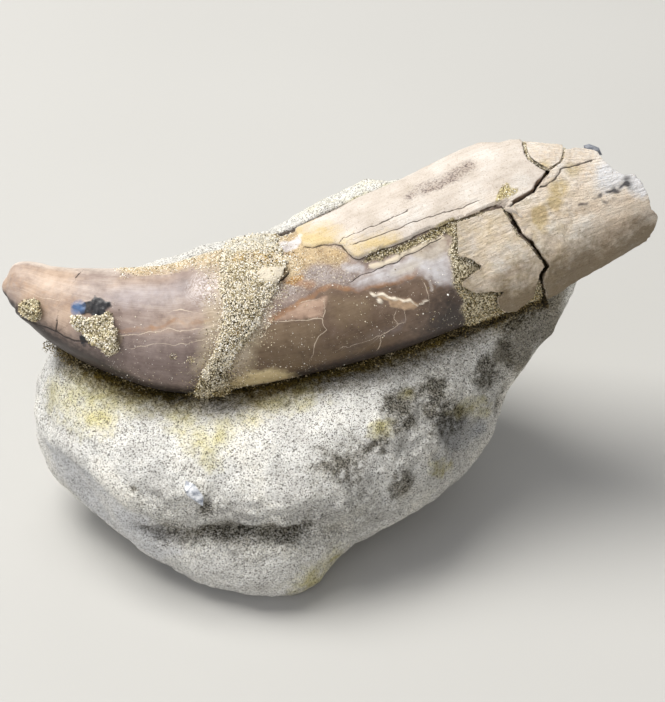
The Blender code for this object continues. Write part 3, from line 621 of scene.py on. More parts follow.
def distance(points, path):
    """How far each point is from the path."""
    nearest = np.full(len(points), np.inf)
    for start, end in zip(path, path[1:]):
        span = end - start
        share = unit((points - start) @ span / (span @ span))
        nearest = np.minimum(nearest, np.linalg.norm(points - start - share[:, None] * span, axis=1))
    return nearest


def depth_inside(points, outline):
    """How far inside the flat outline each point lies, seen from the front: less than 0 outside it."""
    flat = points[:, :2]
    ring = np.array([*outline, outline[0]])
    crossings = np.zeros(len(flat), bool)
    for start, end in zip(ring, ring[1:]):
        spans = (start[1] > flat[:, 1]) != (end[1] > flat[:, 1])
        rise = end[1] - start[1] if end[1] != start[1] else 1.0
        met = start[0] + (flat[:, 1] - start[1]) * (end[0] - start[0]) / rise
        crossings ^= spans & (flat[:, 0] < met)
    return np.where(crossings, 1.0, -1.0) * distance(flat, ring)


def line_mask(points, lines, grown=0.0):
    """1 on each line, fading to 0 at twice its half width."""
    mask = np.zeros(len(points))
    for path, half_width in lines:
        away = distance(points, lay_on_tooth(path, grown))
        mask = np.maximum(mask, unit(2.0 - away / half_width))
    return mask


def line_offset(points, lines, grown=0.0):
    """How far each point lies from the nearest line, counted in that line's half widths: less than 0 on
    one side of it. A thin line stays clean on a coarser mesh this way."""
    offset = np.full(len(points), FAR_OFF)
    for path, half_width in lines:
        lifted = lay_on_tooth(path, grown)
        for start, end in zip(lifted, lifted[1:]):
            span, reach = end - start, points - start
            share = unit(reach @ span / (span @ span))
            away = np.linalg.norm(reach - share[:, None] * span, axis=1) / half_width
            side = np.where(span[0] * reach[:, 1] < span[1] * reach[:, 0], -1.0, 1.0)
            offset = np.where(away < np.abs(offset), side * away, offset)
    return offset


def patch_mask(points, patches, lowest=FRONT_LOWEST):
    """1 inside each patch, fading to 0 across its edge, and 0 for points that lie lower."""
    mask = np.zeros(len(points))
    for outline, soft in patches:
        mask = np.maximum(mask, unit(0.5 + depth_inside(points, outline) / (2 * soft)))
    return np.where(points[:, 2] > lowest, mask, 0.0)


def track_mask(points, path, reach, fullness=1.0):
    """The fullness on the path, held to 1 and fading to 0 at as many times the reach."""
    return unit(fullness - distance(points, path) / reach)


def spot_mask(points, spots):
    """1 at the middle of each round spot, fading to 0 at its radius."""
    mask = np.zeros(len(points))
    for middle, radius in spots:
        away = np.linalg.norm(points - np.array(middle), axis=1) / radius
        mask = np.maximum(mask, unit(1.0 - away))
    return mask


# Meshes


def new_piece(name, points, faces, material, masks):
    """A piece of the object from points in millimetres, with one mask a point for each name in masks."""
    mesh = bpy.data.meshes.new(name)
    mesh.from_pydata((points * MM).tolist(), [], faces)
    return dress(name, mesh, material, masks)


def dress(name, mesh, material, masks):
    """A piece from a finished mesh: its material and masks, riding with the block."""
    for mask, values in masks.items():
        mesh.attributes.new(mask, "FLOAT", "POINT").data.foreach_set("value", values.astype(np.float32))
    mesh.materials.clear()
    mesh.materials.append(material)
    mesh.update()
    mesh.shade_smooth()
    piece = bpy.data.objects.new(name, mesh)
    bpy.context.scene.collection.objects.link(piece)
    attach(piece, BODY)
    return piece


def remeshed(node, voxel):
    """A finely and evenly meshed copy of a CAD node."""
    copy = bpy.data.objects.new("copy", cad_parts[node].data.copy())
    bpy.context.scene.collection.objects.link(copy)
    even = copy.modifiers.new("even", "REMESH")
    even.mode = "VOXEL"
    even.voxel_size = voxel * MM
    graph = bpy.context.evaluated_depsgraph_get()
    mesh = bpy.data.meshes.new_from_object(copy.evaluated_get(graph))
    bpy.data.objects.remove(copy, do_unlink=True)
    return mesh


def points_of(mesh):
    """The mesh's points in millimetres."""
    points = np.empty(len(mesh.vertices) * 3)
    mesh.vertices.foreach_get("co", points)
    return points.reshape(-1, 3) / MM


def move_points(mesh, points):
    mesh.vertices.foreach_set("co", (points * MM).ravel())
    mesh.update()


def normals_of(mesh):
    normals = np.empty(len(mesh.vertices) * 3, np.float32)
    mesh.vertex_normals.foreach_get("vector", normals)
    return normals.reshape(-1, 3).astype(float)


def smoothed(mesh, points, rounds, share):
    """The points, each drawn towards the mean of its neighbours by its share, this many times."""
    edges = np.empty(len(mesh.edges) * 2, np.int32)
    mesh.edges.foreach_get("vertices", edges)
    edges = edges.reshape(-1, 2)
    ends, others = np.concatenate((edges[:, 0], edges[:, 1])), np.concatenate((edges[:, 1], edges[:, 0]))
    count = np.bincount(ends, minlength=len(points))[:, None]
    for _ in range(rounds):
        sums = [np.bincount(ends, column, len(points)) for column in points[others].T]
        points = points + (np.column_stack(sums) / count - points) * share[:, None]
    return points


CHIP_CORNERS = 16
OCTAHEDRON = np.array([(1, 0, 0), (-1, 0, 0), (0, 1, 0), (0, -1, 0), (0, 0, 1), (0, 0, -1)], float)
OCTAHEDRON_FACES = np.array(
    [(0, 2, 4), (2, 1, 4), (1, 3, 4), (3, 0, 4), (2, 0, 5), (1, 2, 5), (3, 1, 5), (0, 3, 5)]
)


def grain_piece(name, places, sizes, damp_and_shade, material, chance, palest=1.0):
    """Many grains of sand as one mesh: each a small, uneven, turned octahedron with a tone of its own,
    darker where the sand is wet and where it lies in painted shade, and no paler than the palest."""
    count = len(places)
    turns = chance.normal(size=(count, 3, 3))
    turns = np.linalg.qr(turns)[0]
    stretch = chance.uniform(0.7, 1.3, (count, 1, 3))
    corners = (OCTAHEDRON * stretch * sizes[:, None, None] / 2) @ turns
    corners *= chance.uniform(0.8, 1.2, (count, 6, 1))
    points = (places[:, None, :] + corners).reshape(-1, 3)
    flip = np.linalg.det(turns) < 0
    faces = np.where(flip[:, None, None], OCTAHEDRON_FACES[:, ::-1], OCTAHEDRON_FACES)
    faces = (faces + 6 * np.arange(count)[:, None, None]).reshape(-1, 3)
    masks = {"tone": np.repeat(chance.uniform(0.0, palest, count), 6), "damp_and_shade": np.repeat(damp_and_shade, 6)}
    piece = new_piece(name, points, faces.tolist(), material, masks)
    piece.data.shade_flat()
    return piece


def chip_piece(name, middle, halves, lean, material, masks, seed):
    """A broken chip: the hull of corners scattered over a rounded form with these halves of its length,
    width and thickness. Its length leans this many degrees from X, seen from the front."""
    chance = np.random.default_rng(seed)
    corners = chance.normal(size=(CHIP_CORNERS, 3))
    corners *= np.array(halves) / np.linalg.norm(corners, axis=1, keepdims=True)
    turn = math.radians(lean)
    ahead = np.array((math.cos(turn), math.sin(turn), 0.0))
    up = np.array((-math.sin(turn), math.cos(turn), 0.0))
    spread = corners[:, :1] * ahead + corners[:, 1:2] * up + corners[:, 2:] * (0.0, 0.0, 1.0)
    work = bmesh.new()
    for corner in middle + spread @ TO_WORLD.T:
        work.verts.new(Vector(corner) * MM)
    bmesh.ops.convex_hull(work, input=work.verts)
    mesh = bpy.data.meshes.new(name)
    work.to_mesh(mesh)
    work.free()
    masks = {mask: np.full(len(mesh.vertices), value) for mask, value in masks.items()}
    dress(name, mesh, material, masks).data.shade_flat()


# Materials


def new_material(name):
    """A material with its node tree and its Principled shader."""
    made = bpy.data.materials.new(name)
    made.use_nodes = True
    return made, made.node_tree, made.node_tree.nodes["Principled BSDF"]


def mask_socket(tree, name):
    return add_node(tree, "ShaderNodeAttribute", {"attribute_name": name}, {}).outputs["Fac"]


def maths(tree, operation, *values, clamp=False):
    """The result of this operation on numbers or sockets."""
    settings = {"operation": operation, "use_clamp": clamp}
    return add_node(tree, "ShaderNodeMath", settings, dict(enumerate(values))).outputs[0]


def rescaled(tree, value, low, high, new_low=0.0, new_high=1.0):
    """The value, moved from its range of low to high into another range and held there."""
    links = {"Value": value, "From Min": low, "From Max": high, "To Min": new_low, "To Max": new_high}
    return add_node(tree, "ShaderNodeMapRange", {}, links).outputs[0]


def blended(tree, amount, low, high):
    """A number between two others, by this amount of the second."""
    return add_node(tree, "ShaderNodeMix", {}, {0: amount, 2: low, 3: high}).outputs[0]


def millimetres(tree):
    """The place on the surface, counted in millimetres."""
    place = add_node(tree, "ShaderNodeTexCoord", {}, {}).outputs["Object"]
    scaled = add_node(tree, "ShaderNodeVectorMath", {"operation": "SCALE"}, {0: place, "Scale": 1 / MM})
    return scaled.outputs[0]


def noise(tree, place, size, detail=4.0, roughness=0.6):
    """Cloudy noise from 0 to 1, in lumps of this size."""
    links = {"Vector": place, "Scale": 1 / size, "Detail": detail, "Roughness": roughness}
    return add_node(tree, "ShaderNodeTexNoise", {}, links).outputs["Fac"]


def along_grain(tree, along_size, round_size):
    """A place for patterns drawn out along the tooth, in steps of this size along it and round it."""
    steps = (("along", along_size), ("around", round_size), ("depth", round_size))
    parts = {}
    for axis, (mask, size) in enumerate(steps):
        parts[axis] = maths(tree, "DIVIDE", mask_socket(tree, mask), size)
    return add_node(tree, "ShaderNodeCombineXYZ", {}, parts).outputs[0]


def fibres(tree, along_size, round_size, detail, roughness=0.6):
    """Noise from 0 to 1 in fibres that run along the tooth."""
    return noise(tree, along_grain(tree, along_size, round_size), 1.0, detail, roughness)


def bumped(tree, height, depth, strength):
    """The way the surface faces under a relief of this height, counted in steps of depth millimetres."""
    links = {"Strength": strength, "Distance": depth * MM, "Height": height}
    return add_node(tree, "ShaderNodeBump", {}, links).outputs[0]


def toned(tree, amount, stops):
    """A colour for each amount, from (position, hex colour) stops."""
    ramp = add_node(tree, "ShaderNodeValToRGB", {}, {"Fac": amount})
    elements = ramp.color_ramp.elements
    while len(elements) < len(stops):
        elements.new(0.5)
    for element, (position, tone) in zip(elements, stops):
        element.position = position
        element.color = hex_colour(tone)
    return ramp.outputs["Color"]


def mixed(tree, amount, below, above, blend="MIX"):
    """Two colours, blended by this amount of the second."""
    settings = {"data_type": "RGBA", "blend_type": blend}
    return add_node(tree, "ShaderNodeMix", settings, {0: amount, 6: below, 7: above}).outputs[2]


def shaded(tree, below, amount, pattern, stops):
    """The colour below, dimmed by this amount of the pattern's tones."""
    return mixed(tree, amount, below, toned(tree, pattern, stops), "MULTIPLY")


# A stain shows where its mask and this share of a ragged noise add up to the first value, and shows fully
# at the second
RAGGED_SHARE = 0.9
STAIN_EDGE = (0.64, 1.38)


def stained(tree, below, ragged, stains, blend="MIX"):
    """The colour below, painted over by each (mask, hex colour, strength) in turn. The ragged noise eats
    into the edge of every stain."""
    for mask, tone, strength in stains:
        eaten = maths(tree, "MULTIPLY_ADD", ragged, RAGGED_SHARE, mask_socket(tree, mask))
        amount = rescaled(tree, eaten, *STAIN_EDGE, 0.0, strength)
        below = mixed(tree, amount, below, hex_colour(tone), blend)
    return below


def painted(tree, below, layers):
    """The colour below, painted over by each (amount, hex colour, strength) in turn, with clean edges."""
    for amount, tone, strength in layers:
        share = maths(tree, "MULTIPLY", amount, strength)
        below = mixed(tree, share, below, hex_colour(tone))
    return below


def line_socket(tree, name):
    """1 on the lines that this mask counts half widths from, fading to 0 at twice their half width."""
    away = maths(tree, "ABSOLUTE", mask_socket(tree, name))
    return maths(tree, "SUBTRACT", 2.0, away, clamp=True)


# Noise shows a crumb from the first level on, and fully at the second. Both drop as crumbs cover more.
CRUMB_EDGE = (0.54, 0.64)
CRUMB_DROP = 0.16


def strewn(tree, place, below, crumbs):
    """The colour below, strewn with crumbs of other colours, for each (mask, size of a crumb, hex colour,
    share of the mask's area, strength)."""
    layers = []
    for mask, size, tone, share, strength in crumbs:
        low, high = (level - CRUMB_DROP * share for level in CRUMB_EDGE)
        shown = rescaled(tree, noise(tree, place, size, detail=2.0), low, high)
        layers.append((maths(tree, "MULTIPLY", shown, mask_socket(tree, mask)), tone, strength))
    return painted(tree, below, layers)


def grain_tones(tree, place, grain, stops):
    """Colour and relief of packed sand: every grain is a rounded bead with a tone of its own."""
    cells = add_node(tree, "ShaderNodeTexVoronoi", {}, {"Vector": place, "Scale": 1 / grain})
    tone = add_node(tree, "ShaderNodeSeparateColor", {}, {"Color": cells.outputs["Color"]}).outputs[0]
    beads = maths(tree, "SUBTRACT", 1.0, cells.outputs["Distance"])
    return toned(tree, tone, stops), beads


# Tones of the grains, from the darkest to the palest
CLEAN_SANDSTONE = [
    (0.0, "#4e4b48"), (0.11, "#908d88"), (0.26, "#d8d5d1"), (0.44, "#f0eeea"), (0.8, "#fdfcfa"),
    (1.0, "#fffffe"),
]
DIRTY_SANDSTONE = [
    (0.0, "#1b1915"), (0.18, "#4f4b41"), (0.36, "#979285"), (0.56, "#c6c2b6"), (0.78, "#e3e0d8"),
    (1.0, "#f8f7f3"),
]
PALE_SAND = [(0.0, "#3f3522"), (0.12, "#94855f"), (0.28, "#dccfae"), (0.52, "#f5ecd8"), (1.0, "#fffdf8")]
DARK_SAND = [
    (0.0, "#17130d"), (0.22, "#41361f"), (0.42, "#806e43"), (0.62, "#b5a06c"), (0.82, "#ddcda0"),
    (1.0, "#f4edd6"),
]
CLAY_SAND = [(0.0, "#37301f"), (0.2, "#7c7152"), (0.5, "#b5aa84"), (0.8, "#d6cda9"), (1.0, "#efe9d3")]
# Grains of dirty and clay-bound sand are this much coarser than the clean sandstone's
COARSER = 1.2

# What is painted by masks: (mask, hex colour, strength) for stains, and crumbs as strewn() takes them
# On the block, "shade" is the painted shadow of the tooth over olive sand, "shoulder" is a dark stain
# deepened with painted shade, and "dark" holds painted shade in the hollows and pits besides the real
# dark patches
SANDSTONE_STAINS = [
    ("yellow", "#e9e2b0", 0.95), ("dark", "#8d877b", 0.7), ("shade", "#72622c", 1.0),
    ("blue", "#e6e8ee", 0.8), ("slate", "#c6c9d0", 0.8), ("band", "#dfd2ab", 0.9),
    ("shoulder", "#a8a398", 0.9),
]
BAND_STAINS = [("ochre", "#c9a55f", 0.85), ("chunk", "#dcd2bf", 1.0)]
# The "shade" crumbs are dark specks of the painted shadow under the tooth, on olive sand
SANDSTONE_CRUMBS = [("dark", 0.3, "#2c2a25", 0.25, 0.85), ("shade", 0.26, "#453814", 0.1, 0.75)]
# Among the dentine's tones, plum and bistre are partly painted shade towards the lower edge and dusk
# mostly so; cream is partly painted light on the upper edge, and amber is partly a painted glow along the
# lower edge
DENTINE_STAINS = [
    ("tan", "#cdb59f", 0.8), ("cream", "#e6dbd0", 0.9), ("plum", "#776864", 0.75),
    ("umber", "#7f6b5a", 0.92), ("glow", "#8f7d63", 0.55), ("haze", "#a39ba0", 0.6),
    ("bistre", "#66533b", 0.8), ("dusk", "#3f3835", 0.95), ("amber", "#dccb9f", 0.95),
    ("lilac", "#a79e9c", 0.85), ("streak", "#ddd8d4", 0.5), ("blush", "#cfb29d", 0.85),
    ("flesh", "#cdb192", 0.95), ("rust", "#ad835e", 0.75), ("honey", "#cdb78c", 0.75),
    ("ochre", "#b28a50", 0.9), ("milk", "#dad9dc", 0.92), ("dust", "#d6caae", 0.5),
]
# The blue coat is the blue of a black stain, partly a painted glossy highlight
DENTINE_COATS = [
    ("ink", "#171a20", 0.97), ("blue_ink_and_sheen", "#4d6a94", 0.95), ("sand", "#544a31", 1.0),
    ("infill", "#61563a", 1.0),
]
DENTINE_CRUMBS = [
    ("grit", 0.23, "#efe3ca", -0.25, 0.7), ("grit", 0.29, "#65523a", 0.1, 0.6),
    ("infill", 0.3, "#e9dfc2", 0.5, 0.9), ("sand", 0.3, "#c9bb92", 0.3, 0.9),
]
# The plate's "shadow" line is painted shadow beside the loose plate, and the "rim" is partly painted
# shadow under the bark's edge and partly dirt
DENTINE_LAYERS = [("shadow", "#3a3120", 0.5), ("strip", "#dccfb8", 0.9), ("ledge", "#efe4d1", 0.9)]
DENTINE_LINES = [("vein", "#dccbb6", 0.7), ("rim", "#3f3423", 0.85), ("crack", "#2f2620", 0.9)]
# On the bark, the darker lower side is painted shade, and the milky tone includes painted light on the
# root end's upper part
CEMENTUM_STAINS = [
    ("core", "#7f6856", 0.85), ("honey", "#d2bb82", 0.75), ("rust", "#b3937a", 0.5),
    ("grime_and_shade", "#84745a", 0.85), ("milk", "#f6f7fb", 0.95),
]
# Bark's share of the colour along its outline, and what each millimetre inside it adds
BARK_AT_EDGE = 0.8
BARK_PER_MM = 12.0
# Ripples of the painted highlight on the crown: half the way from one to the next, and how far they
# wander
CURL_STEP = 0.3
CURL_WANDER = 3.2


def sandstone_material(looks):
    """Fine quartz sandstone, broken by hand: salt-and-pepper grains that stand proud of a pale cement,
    so it is quite matt and looks sugary close by. Dirt and iron have gone into it in patches."""
    made, tree, shader = new_material("fractured_fine_sandstone")
    place = millimetres(tree)
    clean, beads = grain_tones(tree, place, looks.grain, CLEAN_SANDSTONE)
    dirty, _ = grain_tones(tree, place, looks.grain * COARSER, DIRTY_SANDSTONE)
    colour = mixed(tree, mask_socket(tree, "grime_and_shade"), clean, dirty)
    drift = noise(tree, place, 8.0, detail=6.0)
    colour = shaded(tree, colour, 0.9, drift, [(0.34, "#d7d6d4"), (0.5, "#efefed"), (0.66, "#fbf9f3")])
    colour = stained(tree, colour, noise(tree, place, 0.9), SANDSTONE_STAINS, "MULTIPLY")
    colour = stained(tree, colour, noise(tree, place, 0.5), BAND_STAINS)
    colour = strewn(tree, place, colour, SANDSTONE_CRUMBS)
    lumps = noise(tree, place, 0.9, detail=3.0)
    relief = maths(tree, "MULTIPLY_ADD", lumps, 2.2, beads)
    pits = noise(tree, place, 1.6, detail=6.0, roughness=0.7)
    pitted = maths(tree, "MULTIPLY", pits, mask_socket(tree, "rough"))
    relief = maths(tree, "MULTIPLY_ADD", pitted, 14.0, relief)
    normal = bumped(tree, relief, depth=0.16, strength=0.85)
    inputs = {"Base Color": colour, "Normal": normal, "Roughness": 0.95, "Specular IOR Level": 0.2}
    set_inputs(tree, shader, inputs)
    return made


def sand_material():
    """Loose quartz and feldspar sand, rounded by water: each grain is one colour. Where it is wet and
    dirty the grains are darker, and so they are where they stand in painted shade."""
    made, tree, shader = new_material("loose_quartz_sand")
    tone = mask_socket(tree, "tone")
    pale, dark = toned(tree, tone, PALE_SAND), toned(tree, tone, DARK_SAND)
    colour = mixed(tree, mask_socket(tree, "damp_and_shade"), pale, dark)
    set_inputs(tree, shader, {"Base Color": colour, "Roughness": 0.75, "Specular IOR Level": 0.3})
    return made


def crust_material(looks):
    """Sand stuck together with clay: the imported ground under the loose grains."""
    made, tree, shader = new_material("clay_bound_sand")
    tones, beads = grain_tones(tree, millimetres(tree), looks.grain * COARSER, CLAY_SAND)
    normal = bumped(tree, beads, depth=0.18, strength=0.9)
    set_inputs(tree, shader, {"Base Color": tones, "Normal": normal, "Roughness": 0.95})
    return made


def highlight_curls(tree, place):
    """How strongly the painted highlight shows: pale, curling ripples on the crown's most rippled place.
    """
    wander = noise(tree, place, 1.5, detail=3.0, roughness=0.7)
    turns = maths(tree, "MULTIPLY_ADD", wander, CURL_WANDER, mask_socket(tree, "rings"))
    wave = toned(tree, maths(tree, "PINGPONG", turns, CURL_STEP), [(0.14, "#000000"), (0.24, "#ffffff")])
    return maths(tree, "MULTIPLY", wave, mask_socket(tree, "painted_highlight"))


def dentine_colour(tree, place, ragged):
    """Colour of polished dentine: dim growth layers along the tooth under a lilac-grey cloud."""
    layers = fibres(tree, 12.0, 2.6, detail=5.0)
    colour = toned(tree, layers, [(0.3, "#8f7e77"), (0.5, "#a5958d"), (0.7, "#baaca3")])
    colour = stained(tree, colour, ragged, DENTINE_STAINS)
    threads = fibres(tree, 9.0, 0.32, detail=3.0)
    colour = shaded(tree, colour, 0.22, threads, [(0.35, "#b0a098"), (0.6, "#ffffff")])
    cloud = noise(tree, place, 2.2, detail=7.0, roughness=0.68)
    colour = shaded(tree, colour, 0.8, cloud, [(0.3, "#b9b0ac"), (0.5, "#e8e4e1"), (0.7, "#ffffff")])
    # Painted highlight: pale curling ripples on the glossiest place of the crown
    colour = painted(tree, colour, [(highlight_curls(tree, place), "#ece5e6", 0.55)])
    colour = stained(tree, colour, ragged, DENTINE_COATS)
    colour = strewn(tree, place, colour, DENTINE_CRUMBS)
    layers = [(mask_socket(tree, name), tone, strength) for name, tone, strength in DENTINE_LAYERS]
    layers += [(line_socket(tree, name), tone, strength) for name, tone, strength in DENTINE_LINES]
    return painted(tree, colour, layers)


def cementum_colour(tree, place, ragged):
    """Colour of cementum, the tooth's bark: pinkish cream to tan, with dim fibres along the root, sandy
    to the eye and dotted with pores."""
    patches = noise(tree, place, 4.5, detail=5.0)
    cream = toned(tree, patches, [(0.3, "#bfb5aa"), (0.5, "#cec5bc"), (0.7, "#d9d4ce")])
    tan = toned(tree, patches, [(0.3, "#f1dfc9"), (0.5, "#fdefdd"), (0.7, "#fff9f0")])
    colour = mixed(tree, mask_socket(tree, "tan"), cream, tan)
    colour = stained(tree, colour, ragged, CEMENTUM_STAINS)
    colour = stained(tree, colour, fibres(tree, 2.6, 0.35, detail=3.0), [("pores", "#93837a", 0.6)])
    colour = strewn(tree, place, colour, [("pores", 0.34, "#554a4a", 0.45, 0.9)])
    faint = rescaled(tree, mask_socket(tree, "tan"), 0.0, 1.0, 0.14, 0.2)
    broad = fibres(tree, 8.0, 0.45, detail=5.0, roughness=0.62)
    colour = shaded(tree, colour, faint, broad, [(0.3, "#a58d78"), (0.5, "#efe9e2"), (0.7, "#ffffff")])
    fine = fibres(tree, 2.6, 0.2, detail=3.0)
    colour = shaded(tree, colour, faint, fine, [(0.34, "#8d7862"), (0.45, "#f1ebe4"), (0.6, "#ffffff")])
    speckle = noise(tree, place, 0.24, detail=3.0, roughness=0.75)
    colour = shaded(tree, colour, 0.7, speckle, [(0.31, "#80705a"), (0.38, "#eee8df"), (0.47, "#ffffff")])
    colour = stained(tree, colour, ragged, [("sand", "#8a7b54", 1.0)])
    colour = strewn(tree, place, colour, [("sand", 0.3, "#d6c99c", 0.5, 1.0)])
    layers = [(mask_socket(tree, "ink"), "#2b2c33", 0.9), (line_socket(tree, "crack"), "#3a3026", 0.85)]
    return painted(tree, colour, layers)


def tooth_material(looks):
    """The tooth's own skin: dentine polished by wear, with a waxy gloss, and matt sandy cementum over it
    wherever the bark is left."""
    made, tree, shader = new_material("worn_dentine_and_cementum")
    place = millimetres(tree)
    ragged = noise(tree, place, 0.8)
    bark = maths(tree, "MULTIPLY_ADD", mask_socket(tree, "inside"), BARK_PER_MM, BARK_AT_EDGE, clamp=True)
    dentine = dentine_colour(tree, place, ragged)
    colour = mixed(tree, bark, dentine, cementum_colour(tree, place, ragged))
    gloss = rescaled(tree, noise(tree, place, 1.4), 0.3, 0.7, looks.polish, looks.polish + 0.2)
    matt = maths(tree, "MAXIMUM", bark, mask_socket(tree, "dusty"))
    fine = fibres(tree, 1.4, 0.4, detail=4.0)
    sandy = noise(tree, place, 0.3, detail=3.0, roughness=0.7)
    normal = bumped(tree, blended(tree, matt, fine, sandy), 0.22, blended(tree, matt, 0.10, 0.75))
    inputs = {
        "Base Color": colour,
        "Roughness": blended(tree, matt, gloss, 0.85),
        "Specular IOR Level": blended(tree, matt, 0.36, 0.15),
        "Normal": normal,
    }
    set_inputs(tree, shader, inputs)
    return made


def bark_material():
    """Bare cementum of a broken root: matt, sandy and fibrous outside, browner dentine where it has
    snapped."""
    made, tree, shader = new_material("fibrous_root_cementum")
    place = millimetres(tree)
    sandy = noise(tree, place, 0.3, detail=4.0, roughness=0.75)
    height = maths(tree, "MULTIPLY_ADD", fibres(tree, 1.8, 0.42, detail=4.0), 1.4, sandy)
    normal = bumped(tree, height, depth=0.46, strength=1.0)
    colour = cementum_colour(tree, place, noise(tree, place, 0.8))
    inputs = {"Base Color": colour, "Normal": normal, "Roughness": 0.8, "Specular IOR Level": 0.25}
    set_inputs(tree, shader, inputs)
    return made


def crystal_material():
    """A chip of smoky quartz: glassy broken faces, bluish grey."""
    made, tree, shader = new_material("chipped_smoky_quartz")
    cloud = noise(tree, millimetres(tree), 1.0, detail=3.0)
    colour = toned(tree, cloud, [(0.38, "#7d828c"), (0.5, "#c0c4cb"), (0.62, "#f3f4f7")])
    colour = mixed(tree, mask_socket(tree, "smoky"), colour, hex_colour("#5d626d"))
    set_inputs(tree, shader, {"Base Color": colour, "Roughness": 0.3})
    return made


def floor_material():
    """Matt pale card."""
    made, tree, shader = new_material("matt_pale_card")
    place = add_node(tree, "ShaderNodeTexCoord", {}, {}).outputs["Object"]
    colour = toned(tree, noise(tree, place, 0.15, detail=2.0), [(0.3, "#b6b5b2"), (0.7, "#bab9b6")])
    set_inputs(tree, shader, {"Base Color": colour, "Roughness": 0.9})
    return made


# The pieces


class FossilLooks(PropertyGroup):
    """What a user would change about the fossil's looks."""

    grain: FloatProperty(
        name="Grain", description="Size of one grain of the sandstone, in mm", default=0.165, min=0.1
    )
    bark: FloatProperty(
        name="Bark", description="Thickness of the bark on the root, in mm", default=BARK, min=0.1
    )
    polish: FloatProperty(
        name="Polish", description="Roughness of the bare dentine at its glossiest",
        default=0.32, subtype="FACTOR",
    )
    band_grains: IntProperty(
        name="Band grains", description="Grains of loose sand on the band", default=22000
    )
    floor_size: FloatProperty(name="Floor", description="Side of the floor", default=3.0, unit="LENGTH")


